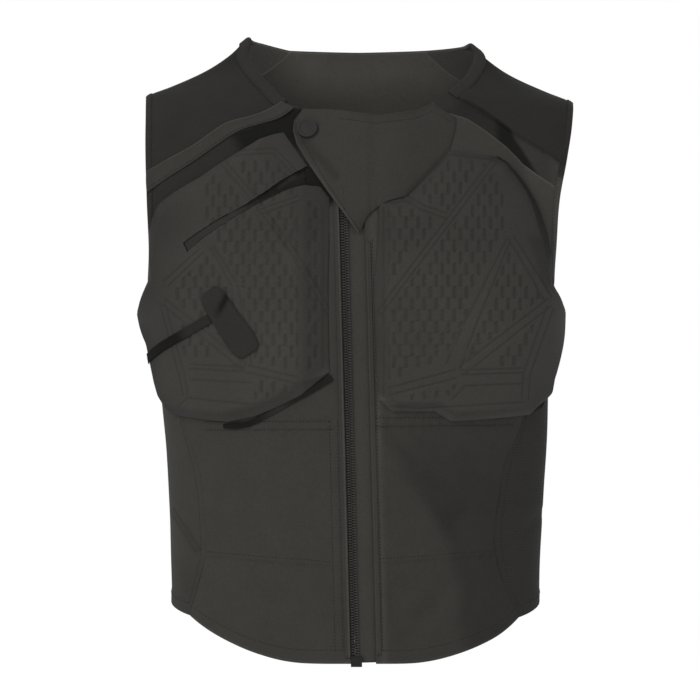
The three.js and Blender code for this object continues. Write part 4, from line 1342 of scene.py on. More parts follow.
@dataclass
class ShoulderYokes:
    """The dark yokes over the shoulders, and the stitched trim on the wearer's right one."""

    step: float = 1.3
    trim_step: tuple[float, float] = (0.8, 1.6)
    trim_top: tuple[Row, ...] = rows(
        (75, -62), (89, -69.7), (107, -76), (131, -83), (165, -106), (207, -130)
    )
    trim_low: tuple[Row, ...] = rows(
        (62.5, -68), (76, -77.8), (98, -84.5), (121, -93), (165, -123), (206, -151)
    )
    tuck: tuple[Row, ...] = rows(
        (90, -51), (98.5, -57), (121, -69), (136, -78.7), (157, -95), (179, -108), (206, -125)
    )
    tuck_rise: float = 2.8
    crest_shade: dict[Side, float] = by_side(0.42, 0.62)
    # Painted light on each yoke's inner skin, which shows through the neck, against the shade inside.
    painted_inner_light: dict[Side, float] = by_side(5.2, 3.2)

    def net(self, side: Side) -> Net:
        """The net of one yoke from its front seam over the shoulder to the back."""
        neck, front = PATTERN.neck(side), PATTERN.yoke_seam(side)
        start = PATTERN.armhole_turn(PATTERN.yoke_end[side])
        stop = PATTERN.armhole_turn(PATTERN.yoke_back, True) - 1
        end = Line(PATTERN.armhole_run(side, start, stop, 90))
        return Net(Line(front), Line(np.stack([neck.at(1.0), end.at(1.0)])), neck, end)

    def trim_edges(self) -> tuple[Line, Line]:
        """The lower and the upper edge of the trim."""
        low, top = (Line.smooth(FORM.seam(Side.RIGHT, seam)) for seam in (self.trim_low, self.trim_top))
        return low, top

    def shade_right(self, p: Places) -> Array:
        """Shade of the wearer's right yoke: a tenth darker throughout, with painted shadow, near black toward
        the collar, on the strip that shows between the trim and the pad.
        """
        x, z = np.abs(p.x), p.z
        edge = level_on(self.trim_low, x)
        below = rising(edge - z, -1.0, 2.0) * (p.y < 0)
        dark = ease(((122 - x) * 0.84 + (z + 97) * 0.55 + 9.0) / 16.0)
        return 0.9 - below * (0.02 + 0.6 * dark)

    def relief_left(self, p: Places) -> tuple[Array, Array]:
        """Rise and shade of the tuck in the wearer's left yoke, with painted shadow under its lip and in the
        valley below it.

        Args:
            p: The yoke's places.

        Returns:
            The rise over the plain cloth, and the shade.
        """
        x, z = p.x, p.z
        off, along = to_path(p.front, self.tuck)
        line = level_on(self.tuck, x)
        ahead = p.y < 0
        above = rising(z - line, -0.35, 0.7)
        fade = rising(along, 4, 14) * ahead
        lip = self.tuck_rise * above * bell(off, 13.0) * fade
        below = (1 - above) * fade
        wrinkle = 0.7 * np.sin(off * 0.9 + 0.06 * along) * falling(along, 100, 30)
        wrinkle = wrinkle * below * bell(off - 6, 8.0)
        light = rising(along - 2.0 * off, 66, 10)
        black = rising(along - 0.8 * off, 48, 12) * (1 - light)
        # The cloth a little darker above the tuck and painted shadow under its lip; below it a darker strip,
        # a lighter patch toward the armhole, and black painted shadow in the valley before the pad.
        shade = 1.0 - 0.16 * above - 0.3 * below * bell(off, 2.0)
        shade += below * (0.3 * light + 0.35 * rising(x, 183, 10) - 0.26 * (1 - light) - 0.46 * black)
        return lip + wrinkle, np.maximum(shade, 0.3)

    def build(self) -> dict[Side, Piece]:
        """Builds both yokes."""
        made = {}
        for side in Side:
            p = self.net(side).grid(self.step)
            swell = 0.35 * p.ripple(26.0) * ease(p.near_rim() / 20)
            rise, shade = (0.0, self.shade_right(p)) if side is Side.RIGHT else self.relief_left(p)
            high = swell + CLOTH + rise
            # Painted shade toward the crest of each shoulder, which faces up into the light; the inner skin's
            # painted light is divided by it, so only the outer skin darkens.
            crest = rising(p.y, -42, 38) * falling(p.y, 30, 25)
            dull = 1.0 - self.crest_shade[side] * crest
            shade = shade * dull + 0.9 * bell(p.from_top, 1.1)
            painted_inner_light = self.painted_inner_light[side] / dull
            made[side] = lay_cloth(side.named("shoulder_yoke"), p, swell, high, shade, KNIT, painted_inner_light)
        return made

    def build_trim(self) -> Piece:
        """Builds the trim, its upper edge a rolled piping."""
        p = Net.between(*self.trim_edges()).grid(*self.trim_step)
        seat = LAID - 0.5 + 1.3 * falling(p.x, -198, 5)
        seat += 1.4 * (1 - rising(p.from_start, 12, 16))
        high = seat + 1.1 + 0.6 * bell(p.from_top - 1.0, 1.0) - 0.25 * bell(p.from_top - 3.2, 0.9)
        # Painted highlight along the piping and painted shade along the lower edge.
        tone = 0.88 + 0.5 * bell(p.from_top - 0.6, 1.1) - 0.1 * bell(p.from_low, 1.5)
        return lay_cloth(
            "shoulder_trim_right", p, seat, high, tone, MAIN_CLOTH, rests_on=("shoulder_yoke_right",)
        )

    def sew(self, trim: Piece, yokes: dict[Side, Piece], thread: Stitching) -> None:
        """Sews the lower edge of the trim and the seams of the yokes at the back."""
        low, top = self.trim_edges()
        t = np.linspace(0.03, 0.98, 120)
        thread.sew(low.at(t) * 0.84 + top.at(t) * 0.16, [trim], thread.close_pitch)
        for side, yoke in yokes.items():
            thread.sew(self.net(side).row(0.988, np.linspace(0.04, 0.96, 80)), [yoke])


LEFT_FLANK = (
    *rounds((-28, -250)),
    *rows((185, -228), (185, -200), (179.5, -178), (166, -148), (139, -116)),
)


@dataclass
class ChestPads:
    """The moulded chest pads: sloping flanks, raised bands between grooves, and rows of slots."""

    step: float = 0.95
    fill: float = 0.95
    thickness: float = 15.0
    rim: float = 3.5
    # Where a pad is sewn down flat its rim is low.
    rims: dict[Side, dict[str, float]] = by_side(
        right={"low": 0.8, "outer": 3.5, "top": 3.0, "inner": -0.7},
        left={"low": 0.0, "outer": 3.5, "top": -0.8, "inner": -0.7},
    )
    # The lip of the wearer's left pad that goes under the collar flap.
    lip: float = 2.2
    outlines: dict[Side, dict[str, tuple[Row, ...]]] = by_side(
        right={
            "low": rows((28, -326), (57, -350), (84, -363), (101, -370), (126, -375.5), (178, -369)),
            "outer": (
                *rows((178, -369), (186, -353)),
                *rounds((-40, -338), (-36, -303), (0, -265), (-28, -250)),
                *rows((198.6, -225), (198.4, -172)),
            ),
            "top": rows((73, -92), (97, -100), (155, -137), (192, -160), (198.4, -172)),
            "inner": rows((28, -326), (28, -156), (40.5, -140), (51, -122.5), (73, -92)),
        },
        left={
            "low": rows((20, -353), (33, -365), (74, -365), (90, -375), (166, -369), (171, -362)),
            "outer": (
                *rows((171, -362), (180, -353)),
                *rounds((-40, -338), (-22, -303), (2, -263)),
                *LEFT_FLANK,
            ),
            "top": rows((20, -159), (44.8, -154.2), (87.6, -108.6), (139, -116)),
            "inner": rows((20, -353), (20, -159)),
        },
    )
    flanks: dict[Side, dict[str, float]] = by_side(
        right={"low": 14, "outer": 12, "top": 12, "inner": 26},
        left={"low": 12, "outer": 12, "top": 20, "inner": 12},
    )
    # The upper flank of the wearer's left pad, and its width at each place.
    wedge: tuple[Row | Round, ...] = LEFT_FLANK
    wedge_widths: tuple[float, ...] = (9.0, 10.0, 12.0, 10.0, 5.0, 2.5)
    bands: dict[Side, tuple[Band, ...]] = by_side(
        left=(
            Band(rows((45, -154), (89, -110), (134, -116)), 2.6, 2.6),
            Band(rows((135, -117), (96, -169), (18, -272)), 2.6, 2.6),
            Band(rows((43, -154), (63, -166), (88, -175)), 2.4, 2.6),
            Band(rows((148, -195), (125, -246), (104, -292), (92, -323)), 1.8, 7.5),
            Band(rows((149, -194), (188, -256)), 2.8, 4.2),
            Band(rows((190, -257), (100, -326)), 3.6, 4.4),
            Band(rows((97, -328), (28, -346)), 4.0, 3.4),
            Band(rows((100, -327), (164, -325)), 2.2, 2.2),
            Band(rows((190, -261), (166, -328), (164, -355)), 3.4, 3.4),
        ),
        right=(
            Band(rows((-122, -112), (-82, -110), (-60, -133)), 2.4, 2.4),
            Band(rows((-133, -120), (-102, -157), (-62, -211), (-26, -272)), 2.6, 2.6),
            Band(rows((-55, -156), (-100, -172)), 2.4, 2.4),
            Band(rows((-144, -202), (-121, -241), (-109, -323)), 1.8, 5.5),
            Band(rows((-152, -207), (-190, -241)), 2.6, 3.2),
            Band(rows((-193, -256), (-109, -323)), 3.2, 3.4),
            Band(rows((-109, -323), (-58, -335)), 3.4, 3.0),
            Band(rows((-167, -321), (-109, -324)), 2.2, 2.2),
            Band(rows((-193, -257), (-173, -331), (-169, -351)), 2.6, 2.6),
        ),
    )
    lines: dict[Side, tuple[tuple[Row, ...], ...]] = by_side(
        left=(
            rows((165, -356), (60, -362), (30, -360)),
            rows((24.6, -166), (24.6, -350)),
            rows((104, -340), (161, -338)),
            rows((92, -353), (104, -341)),
            rows((19, -154.5), (43, -154)),
            rows((25, -161), (43, -160)),
        ),
        right=(
            rows((-168, -352), (-106, -358)),
            rows((-168, -352), (-177, -361)),
            rows((-165, -334), (-105, -337)),
            rows((-34, -166), (-34, -322)),
        ),
    )
    zones: dict[Side, tuple[tuple[Row, ...], ...]] = by_side(
        left=(
            rows((50, -154), (90, -116), (129, -121), (89, -171)),
            rows((27, -163), (43, -162), (81, -178), (28, -246)),
            rows(
                (136, -124), (143, -140), (144, -192), (130, -222),
                (110, -265), (86, -314), (28, -338), (28, -266),
            ),
            rows((149, -203), (182, -254), (106, -316), (119, -274)),
            rows((178, -272), (161, -321), (124, -323)),
            rows((31, -353), (93, -337), (100, -338), (90, -351), (33, -357)),
        ),
        right=(
            rows((-124, -119), (-84, -115), (-62, -138), (-57, -151), (-97, -166)),
            rows((-57, -160), (-95, -175), (-64, -215), (-57, -226)),
            rows(
                (-138, -129), (-104, -165), (-66, -217), (-57, -233), (-57, -328), (-103, -317), (-117, -242
            ),
                 (-141, -198), (-150, -190), (-150, -140)),
            rows((-148, -211), (-186, -246), (-187, -253), (-114, -312), (-125, -243)),
            rows((-184, -270), (-170, -316), (-120, -318)),
            rows((-105, -330), (-62, -340), (-66, -350), (-102, -354)),
            rows((-53, -152), (-37, -168), (-37, -316), (-53, -332)),
        ),
    )
    slot_pitch: Row = Row(5.91, 22.6)
    slot_half: Row = Row(1.55, 5.9)
    slot_start: dict[Side, Row] = by_side(Row(-70.6, -137.0), Row(70.6, -135.8))
    slot_depth: float = 0.95
    groove: dict[Side, float] = by_side(0.55, 0.65)
    # How much of the slit's inner end the insert leaves open.
    insert_stop: float = 34.0
    insert_step: float = 1.2
    slit_depth: tuple[float, float] = (3.2, 13.0)
    slit_deepens: tuple[float, float] = (120.0, 50.0)
    slit_top: tuple[Row, ...] = rows(
        (171, -200), (110, -163), (90, -150), (75, -139), (62, -129), (44, -116.5)
    )
    slit_low: tuple[Row, ...] = rows(
        (167, -209), (152, -196), (101, -164), (80, -153.5), (62, -144.2), (52, -141), (33, -142)
    )

    def net(self, side: Side) -> Net:
        """The net of one pad between its four edges."""
        edges = {name: Line(FORM.seam(side, seam)) for name, seam in self.outlines[side].items()}
        return Net(edges["low"], edges["top"], edges["inner"], edges["outer"])

    def face(self, side: Side, chart: Array) -> Array:
        """Height of the pad's plain face, sloping down to its rim."""
        height = np.full(chart.shape[:-1], self.thickness)
        for name, seam in self.outlines[side].items():
            off, _ = to_path(chart, FORM.seam(side, seam))
            lip = self.lip if (side, name) == (Side.LEFT, "top") else 0.0
            share = np.clip((off - lip) / self.flanks[side][name], 0.0, 1.0)
            sharp = 1.0 if name == "inner" else 1.7
            rim = self.rims[side][name]
            height = np.minimum(height, rim + (self.thickness - rim) * (1.0 - (1.0 - share) ** sharp))
        if side is Side.LEFT:
            height = np.minimum(height, self.rim + (self.thickness - self.rim) * self.wedge_share(chart))
        return PAD_SEAT + height

    def wedge_share(self, chart: Array) -> Array:
        """How far up the upper flank of the wearer's left pad each place lies, from 0 to 1."""
        line = FORM.seam(Side.LEFT, self.wedge)
        reach = run_lengths(line)
        off, along = to_path(chart, line)
        return np.clip(off / np.interp(along, reach, self.wedge_widths), 0.0, 1.0)

    def slots(self, side: Side, p: Places) -> Array:
        """How far each place lies in a slot, from 0 to 1."""
        x, z = p.x, p.z
        start = self.slot_start[side]
        column = np.round((x - start.x) / self.slot_pitch.x)
        shift = np.where(np.mod(column, 2) == 0, 0.0, self.slot_pitch.z / 2)
        off_x = np.abs(x - start.x - column * self.slot_pitch.x)
        row = np.round((z - start.z - shift) / self.slot_pitch.z)
        middle_x = start.x + column * self.slot_pitch.x
        middle_z = start.z + shift + row * self.slot_pitch.z
        off_z = np.abs(z - middle_z)
        middle = np.stack([middle_x, middle_z], axis=-1)
        corner = np.hypot(np.maximum(off_x - 0.5, 0), np.maximum(off_z - self.slot_half.z + 1.0, 0))
        open_part = ease((self.slot_half.x - 0.5 - corner + 0.45) / 0.9)
        allowed = np.zeros(x.shape)
        for zone in self.zones[side]:
            whole = inside_by(middle, zone) > 0.4
            allowed = np.maximum(allowed, whole * ease((inside_by(p.front, zone) - 0.6) / 1.2))
        return open_part * allowed

    def cuts(self, side: Side, p: Places) -> Array:
        """How far each place lies in one of the thin grooves beside the bands, from 0 to 1."""
        cut = np.zeros(p.chart.shape[:-1])
        for band in self.bands[side]:
            off, along = to_path(p.front, band.path)
            run = sum(math.dist(a, b) for a, b in zip(band.path[:-1], band.path[1:]))
            half = band.half + (band.end_half - band.half) * np.clip(along / run, 0, 1)
            ends = ease(along / 2.5) * falling(along, run, 2.5)
            cut = np.maximum(cut, bell(off - half, 0.75) * ends)
        for path in self.lines[side]:
            cut = np.maximum(cut, bell(to_path(p.front, path)[0], 0.8))
        return cut

    def build(self) -> dict[Side, Piece]:
        """Builds both pads and opens the slit in the wearer's right one."""
        made = {}
        for side in Side:
            name = side.named("chest_pad")
            p = self.net(side).grid(self.step)
            face = self.face(side, p.chart)
            p.front = FORM.lay(p.chart, face)[..., [0, 2]]
            slots, cuts = self.slots(side, p), self.cuts(side, p)
            high = face - self.slot_depth * slots - self.groove[side] * cuts
            low = np.full(face.shape, CLOTH + 0.15)
            # Painted shade in the slots and the grooves, fainter on the wearer's right pad.
            faint = 1.0 if side is Side.LEFT else 0.9
            tone = 1.0 - faint * (0.16 * slots + 0.24 * cuts)
            # Painted shadow on the upper flank of the wearer's left pad.
            if side is Side.LEFT:
                tone *= 1.0 - 0.5 * ease((1.0 - self.wedge_share(p.chart)) / 0.12)
            tone *= self.painted_shading(side, p)
            made[side] = Maker.shell(name, p, low, np.maximum(high, low + 0.4), tone, PAD_CLOTH, 0.2)
        self.open_slit(made[Side.RIGHT])
        for side, pad in made.items():
            pad.data.set_sharp_from_angle(angle=SHARP)
            settle(pad, PAD_CLOTH, side.named("chest_pad"))
        return made

    def painted_shading(self, side: Side, p: Places) -> Array:
        """Broad painted light and shade of one pad: darker toward its top, painted shade toward its outer
        edges, and painted light along its low edge and in its middle.
        """
        x, z = p.x, p.z
        outer, _ = to_path(p.chart, FORM.seam(side, self.outlines[side]["outer"]))
        # Painted shade where the outer bulge faces the light.
        dull = 0.12 if side is Side.LEFT else 0.28 + 0.2 * bell(z + 288, 34.0)
        shade = 1.0 - 0.3 * (1.0 - ease(outer / 11)) - dull * (1.0 - ease(outer / 45))
        # Painted light on the low flank, which faces down.
        off, _ = to_path(p.chart, FORM.seam(side, self.outlines[side]["low"]))
        shade += (0.5 if side is Side.LEFT else 0.3) * (1.0 - ease(off / 9))
        if side is Side.LEFT:
            # Painted shadow on the upper flank; darker toward the top and, as painted light, lighter round
            # the middle.
            shade -= 0.18 * (1.0 - rising(outer, 17, 6)) * falling(z, -190, 10) * rising(z, -252, 16)
            return shade * (1.0 - 0.13 * rising(z, -235, 50) + 0.1 * bell(np.hypot(x - 125, z + 285), 45.0))
        # Darker along the inner edge; painted shade on the outer bulge; darker toward the top and, as painted
        # light, lighter in the lower middle.
        inner, beside_tab = rising(x, -55, 3), falling(x, -155, 34) * bell(z + 282, 40.0)
        shade *= (1.0 - 0.12 * inner) * (1.0 - 0.16 * beside_tab)
        return shade * (1.0 - 0.1 * rising(z, -225, 50) + 0.13 * bell(np.hypot(x + 84, z + 305), 34.0))

    def slit_edges(self) -> list[Array]:
        """Chart places of the lower and the upper edge of the slit."""
        return [FORM.seen(Side.RIGHT, edge, self.top) for edge in (self.slit_low, self.slit_top)]

    def slit_net(self, cut_end: float = 0.0) -> Net:
        """The net of the slit, with its inner end cut back where it is asked."""
        below, above = (Line(edge) for edge in self.slit_edges())
        t = np.linspace(0, 1.0 - cut_end / below.total, 60)
        return Net.between(Line(below.at(t)), Line(above.at(t)), 0.0)

    @property
    def top(self) -> float:
        """Height of the pads' flat faces over the body."""
        return PAD_SEAT + self.thickness

    def slit_floor(self, p: Places) -> Array:
        """Height of the slit's floor, which drops toward its inner end and leaves it open."""
        start, run = self.slit_deepens
        inward = falling(np.abs(p.body[..., 0]), start, run)
        depth = self.slit_depth[0] + (self.slit_depth[1] - self.slit_depth[0]) * inward
        through = 6.0 * falling(np.abs(p.body[..., 0]), 51, 4)
        return np.maximum(self.face(Side.RIGHT, p.chart) - depth, CLOTH + 0.7) - through

    def open_slit(self, pad: Piece) -> None:
        """Cuts the slit out of a pad."""
        p = self.slit_net().places(np.linspace(0, 1, 50), np.array([0.0, 0.5, 1.0]))
        low = self.slit_floor(p)
        tool = Maker.shell("slit_tool", p, low, low + 30, np.ones(low.shape), PAD_CLOTH, 0.0)
        bpy.context.view_layer.objects.active = pad
        cut = pad.modifiers.new("slit", "BOOLEAN")
        cut.operation, cut.solver, cut.object = "DIFFERENCE", "EXACT", tool
        bpy.ops.object.modifier_apply(modifier=cut.name)
        bpy.data.objects.remove(tool)
        self.shade_slit(pad)

    def shade_slit(self, pad: Piece) -> None:
        """Paints shade on the floor and the walls of the slit, black toward its inner end, and painted light
        along its upper edge.
        """
        points = np.array([vertex.co[:] for vertex in pad.data.vertices]) / MM
        chart = FORM.find(points)
        height = np.linalg.norm(points - FORM.point(chart), axis=-1)
        below, above = self.slit_edges()
        within = inside_by(chart, np.concatenate([below, above[::-1]])) > -0.6
        sunk = within & (self.face(Side.RIGHT, chart) - height > 0.9) & (height > CLOTH + 0.4)
        shade = np.zeros(len(points), np.float32)
        pad.data.attributes["tone"].data.foreach_get("value", shade)
        dark = 0.9 - 0.62 * falling(np.abs(points[:, 0]), 80, 26)
        dark += 1.1 * bell(to_path(chart, above)[0], 1.2) * rising(np.abs(points[:, 0]), 58, 8)
        pad.data.attributes["tone"].data.foreach_set("value", np.where(sunk, dark, shade).astype(np.float32))

    def build_insert(self) -> Piece:
        """Builds the dark stretch strip on the floor of the slit."""
        p = self.slit_net(self.insert_stop).grid(self.insert_step)
        low = self.slit_floor(p) + 0.4
        x = np.abs(p.x)
        # The strip's own grey, with painted light where the slit's shade falls on it and painted shade toward
        # its inner end.
        tone = 2.7 + 0.5 * bell(x - 84, 14.0) - 1.2 * falling(x, 70, 16)
        made = Maker.shell("slit_insert", p, low, low + 1.6 + 0.15 * p.ripple(4.0), tone, WEBBING, 0.04)
        return settle(made, WEBBING, "slit_insert")


@dataclass
class PadStraps:
    """The straps over the wearer's right pad, and the tab that one of them passes under."""

    pads: ChestPads
    width: float = 9.5
    lower_width: float = 6.6
    thickness: float = 1.2
    side_foot: Round = Round(-42, -312.5)
    side_rows: tuple[Row, ...] = rows((196, -304), (172, -290), (144.9, -274.4))
    lower_rows: tuple[Row, ...] = rows(
        (25.8, -331.5), (48.5, -345.5), (60, -352), (92.5, -370.5), (110, -378), (131, -379.5)
    )
    tab_rows: tuple[Row, ...] = rows((146, -247), (133, -268), (105, -308))
    # share of the length, half width, lift
    tab_profile: tuple[tuple[float, float, float], ...] = (
        (0.0, 7.0, 0.5),
        (0.02, 9.2, 0.5),
        (0.07, 11.8, 0.5),
        (0.2, 13.4, 0.1),
        (0.5, 14.0, 0.3),
        (0.9, 13.6, 0.4),
        (0.96, 12.2, 0.4),
        (1.0, 9.0, 0.4),
    )
    tab_thickness: float = 1.5

    def flat_section(self, half: float) -> Array:
        """A flat strip's section with softened edges."""
        thick = self.thickness
        return np.array(
            [
                (-half, 0.3 * thick), (-half + 0.4, 0.0), (0.0, 0.0), (half - 0.4, 0.0), (half, 0.3 * thick),
                (half, 0.7 * thick), (half - 0.5, thick), (half - 1.6, 0.86 * thick), (0.0, thick),
                (-half + 1.6, 0.86 * thick), (-half + 0.5, thick), (-half, 0.7 * thick),
            ]
        )

    def build(self) -> dict[str, Piece]:
        """Builds the two straps and the tab."""
        made = {}
        foot = FORM.round(Side.RIGHT, self.side_foot)
        line = np.concatenate([foot[None], FORM.seen(Side.RIGHT, self.side_rows, self.pads.top)])
        t = np.linspace(0, 1, 80)
        line = Line.smooth(line).at(t)
        section = self.draped(line, self.flat_section(self.width / 2))
        grey = 0.65 + 1.2 * falling(np.abs(FORM.point(line)[:, 0]), 168, 12)
        made["side_strap"] = Maker.strip("side_strap", line, section, WEBBING, seat=0.5, tone=grey)
        line = Line.smooth(FORM.seam(Side.RIGHT, self.lower_rows)).at(t)
        swell = 1.0 - 0.2 * ease(t / 0.5) - 0.15 * rising(t, 0.9, 0.1)
        sections = np.stack([self.flat_section(self.lower_width / 2 * s) for s in swell])
        wave = LAID + 0.5 * np.sin(t * 9.0) * t
        dark = 1.3 - 0.4 * rising(t, 0.35, 0.25) + 1.5 * bell(t - 0.52, 0.13)
        made["lower_strap"] = Maker.strip("lower_strap", line, sections, WEBBING, seat=wave, tone=dark)
        made["strap_tab"] = self.build_tab()
        for name, piece in made.items():
            settle(piece, WEBBING, name)
        return made

    def draped(self, line: Array, section: Array) -> Array:
        """A section at each place of a line, every corner of it lifted by the pad's face below."""
        base = FORM.point(line)
        up, across = FORM.frame(base)
        sections = np.array(np.broadcast_to(section, (len(line), *np.shape(section)[-2:])))
        for corner in range(sections.shape[1]):
            chart = FORM.find(base + across * sections[:, corner, :1])
            face = FORM.lay(chart, self.pads.face(Side.RIGHT, chart))
            sections[:, corner, 1] += np.sum((face - base) * up, axis=1)
        return sections

    def build_tab(self) -> Piece:
        """Builds the tab with its rounded ends and the crease where it folds."""
        ends = np.linspace(0, 0.1, 12)[:-1], np.linspace(0.9, 1, 12)
        t = np.concatenate([ends[0], np.linspace(0.1, 0.9, 40)[:-1], ends[1]])
        line = Line.smooth(FORM.seen(Side.RIGHT, self.tab_rows, self.pads.top)).at(t)
        table = np.asarray(self.tab_profile)
        half, bend = hermite(table[:, 0], table[:, 1:], t).T
        seat = 0.1 + bend + 1.1 * bell(t - 0.16, 0.1)
        columns = np.linspace(-1, 1, 13)
        top = np.stack([columns, np.ones(13)], axis=-1)[::-1]
        bottom = np.stack([columns, np.zeros(13)], axis=-1)
        outline = np.concatenate([bottom, top])[None].repeat(len(t), axis=0)
        edge = np.where(np.abs(outline[..., 0]) > 0.99, 0.3, 0.0)
        rise = np.abs(outline[..., 1] - edge) * self.tab_thickness
        crease = bell(t[:, None] - 0.3 + 0.1 * outline[..., 0], 0.05) * ease((0.9 + outline[..., 0]) / 1.2)
        rise = rise - 0.9 * crease * outline[..., 1]
        section = np.stack([outline[..., 0] * half[:, None], rise], axis=-1)
        # Painted shade in the crease.
        section, tone = self.draped(line, section), 1.0 - 0.75 * crease
        return Maker.strip("strap_tab", line, section, TAB_CLOTH, seat=seat, tone=tone)


@dataclass
class CollarFlap:
    """The flap that closes over the top of the zip, and the snap that holds it."""

    step: float = 1.1
    top: tuple[Row, ...] = rows(
        (-63, -81), (-54, -69), (-13, -72), (17, -76), (56, -71), (73, -63), (96, -78)
    )
    right: tuple[Row, ...] = rows((19.5, -161.0), (45.7, -156.3), (88.7, -110.4), (96, -78))
    low: tuple[Row, ...] = rows((0, -192), (10, -174), (19.5, -161.0))
    left: tuple[Row, ...] = rows(
        (0, -192), (-10, -178), (-30, -151), (-50.5, -121), (-60.5, -104), (-64, -91), (-63, -81)
    )
    raised: tuple[float, float, float, float] = (-44.0, 6.0, 12.0, 2.0)
    crease: Fold = Fold(-53, -101, -22, -136, 5.5, -1.5)
    roll: Fold = Fold(-46, -93, -14, -128, 9, 0.9)
    pressed: tuple[float, ...] = (-18.6, -13.6, 12.3, 18.4)
    least: float = 0.35
    rests_on: tuple[str, ...] = ("front_panel_right", "front_panel_left", "zip_teeth")
    snap: Row = Row(-50, -90)
    snap_radius: float = 10.0
    snap_height: float = 4.0

    def net(self) -> Net:
        """The net of the flap between its four edges."""
        edges = (self.low, self.top, self.left, self.right)
        low, top, left, right = (Line(FORM.seam(Side.LEFT, edge)) for edge in edges)
        return Net(low, top, left, right)

    def build(self) -> Piece:
        """Builds the flap, draped over the zip."""
        p = self.net().grid(self.step)
        x, z = p.x, p.z
        start, stop, run, height = self.raised
        lift = rising(x, start, run) * (1 - rising(x, stop, run))
        lift *= ease(p.from_low / 14)
        close = 1 - ease(np.minimum(p.from_low / 8, p.from_end / 10))
        low = LAID + height * lift - 0.1 * close + 0.2 * p.ripple(14.0) * ease(p.near_rim() / 10)
        high = low + CLOTH + p.folds([self.crease, self.roll]) * ease(p.near_rim() / 8)
        high += 0.8 * bell(p.from_start - 1.2, 1.4) - 0.3 * bell(p.from_start - 4.0, 1.2)
        high += 0.35 * bell(p.from_top - 0.8, 1.0)
        for offset in self.pressed:
            high -= 0.55 * bell(x - offset, 0.8) * falling(z, -144, 4)
        high -= 1.1 * bell(p.from_end, 2.5) + 1.0 * bell(p.from_low, 2.5)
        # Painted highlight along the rolled left edge; darker near the neckline and toward the right; painted
        # shade along the crease.
        tone = 0.95 + 0.35 * bell(p.from_start - 0.8, 1.4)
        tone -= 0.08 * (1 - ease(p.from_top / 9)) * rising(x, -30, 40)
        tone -= 0.11 * rising(x, 15, 40)
        tone -= 0.2 * bell(to_path(p.front, [self.crease[:2], self.crease[2:4]])[0], 4.0)
        high = np.maximum(high, low + self.least)
        return lay_cloth("collar_flap", p, low, high, tone, MAIN_CLOTH, rests_on=self.rests_on)

    def build_snap(self) -> Piece:
        """Builds the snap's cap: a turned disc with a raised rim and a bare dished face."""
        bpy.ops.object.select_all(action="DESELECT")
        radius, depth = self.snap_radius * MM, self.snap_height * MM
        middle = (0, 0, depth / 2)
        bpy.ops.mesh.primitive_cylinder_add(vertices=48, radius=radius, depth=depth, location=middle)
        cap = bpy.context.active_object
        cap.name = cap.data.name = "snap_cap_turned"
        bpy.ops.object.mode_set(mode="EDIT")
        Hands.select_faces(cap, lambda face: face.normal.z > 0.9)
        bpy.ops.mesh.inset(thickness=2.4 * MM)
        Hands.step_in(0.7, -1.0)
        Hands.step_in(3.6, 0.45)
        bpy.ops.object.mode_set(mode="OBJECT")
        Hands.bevel(cap, 0.7 * MM, 4, 38.0)
        place = FORM.chart(Side.LEFT, np.array(self.snap.x), np.array(self.snap.z))
        Hands.stand(cap, FORM.lay(place, LAID + CLOTH + 0.5), FORM.outward(FORM.point(place)))
        cap.data.materials.append(ENAMEL.material())
        return settle(cap, ENAMEL, "snap_cap")

    def sew(self, flap: Piece, thread: Stitching) -> None:
        """Sews a row inside the rolled edge and along the neckline."""
        net = self.net()
        thread.sew(net.column(0.055, np.linspace(0.03, 0.93, 90)), [flap], thread.close_pitch)
        thread.sew(net.row(0.93, np.linspace(0.3, 0.97, 90)), [flap], thread.close_pitch)


class Hands:
    """Moves that are made by hand in edit mode."""

    @staticmethod
    def block(*size: float) -> Piece:
        """A new block of a given size about the origin."""
        bpy.ops.object.select_all(action="DESELECT")
        bpy.ops.mesh.primitive_cube_add(size=1.0, location=(0, 0, 0))
        made = bpy.context.active_object
        made.data.transform(Matrix.Diagonal((*size, 1.0)))
        return made

    @staticmethod
    def step_in(inset: float, rise: float) -> None:
        """Insets the selected faces and moves them along Z, in millimetres."""
        bpy.ops.mesh.inset(thickness=inset * MM)
        bpy.ops.transform.translate(value=(0, 0, rise * MM))

    @staticmethod
    def select_faces(piece: Piece, wanted: Callable[[bpy.types.MeshPolygon], bool]) -> None:
        """Selects the faces of a piece in edit mode that pass a test."""
        bpy.ops.object.mode_set(mode="OBJECT")
        chosen = [wanted(face) for face in piece.data.polygons]
        bpy.ops.object.mode_set(mode="EDIT")
        bpy.ops.mesh.select_all(action="DESELECT")
        bpy.ops.mesh.select_mode(type="FACE")
        bpy.ops.object.mode_set(mode="OBJECT")
        piece.data.polygons.foreach_set("select", chosen)
        bpy.ops.object.mode_set(mode="EDIT")

    @staticmethod
    def bevel(piece: Piece, width: float, segments: int, angle: float) -> None:
        """Rounds the edges of a piece that are sharper than an angle in degrees, and shades it."""
        bpy.context.view_layer.objects.active = piece
        rounding = piece.modifiers.new("rounding", "BEVEL")
        rounding.width, rounding.segments = width, segments
        rounding.limit_method, rounding.angle_limit = "ANGLE", math.radians(angle)
        bpy.ops.object.modifier_apply(modifier=rounding.name)
        bpy.ops.object.shade_smooth_by_angle(angle=math.radians(40))

    @staticmethod
    def stand(piece: Piece, place: Array, up: Array) -> None:
        """Puts a piece's mesh at a place, its own Z along up, its object at the origin."""
        z = Vector(up).normalized()
        x = Vector((0, 0, 1)).cross(z).normalized()
        turn = Matrix((x, z.cross(x), z)).transposed().to_4x4()
        piece.data.transform(Matrix.Translation(Vector(place) * MM) @ turn @ piece.matrix_world)
        piece.matrix_world = Matrix.Identity(4)


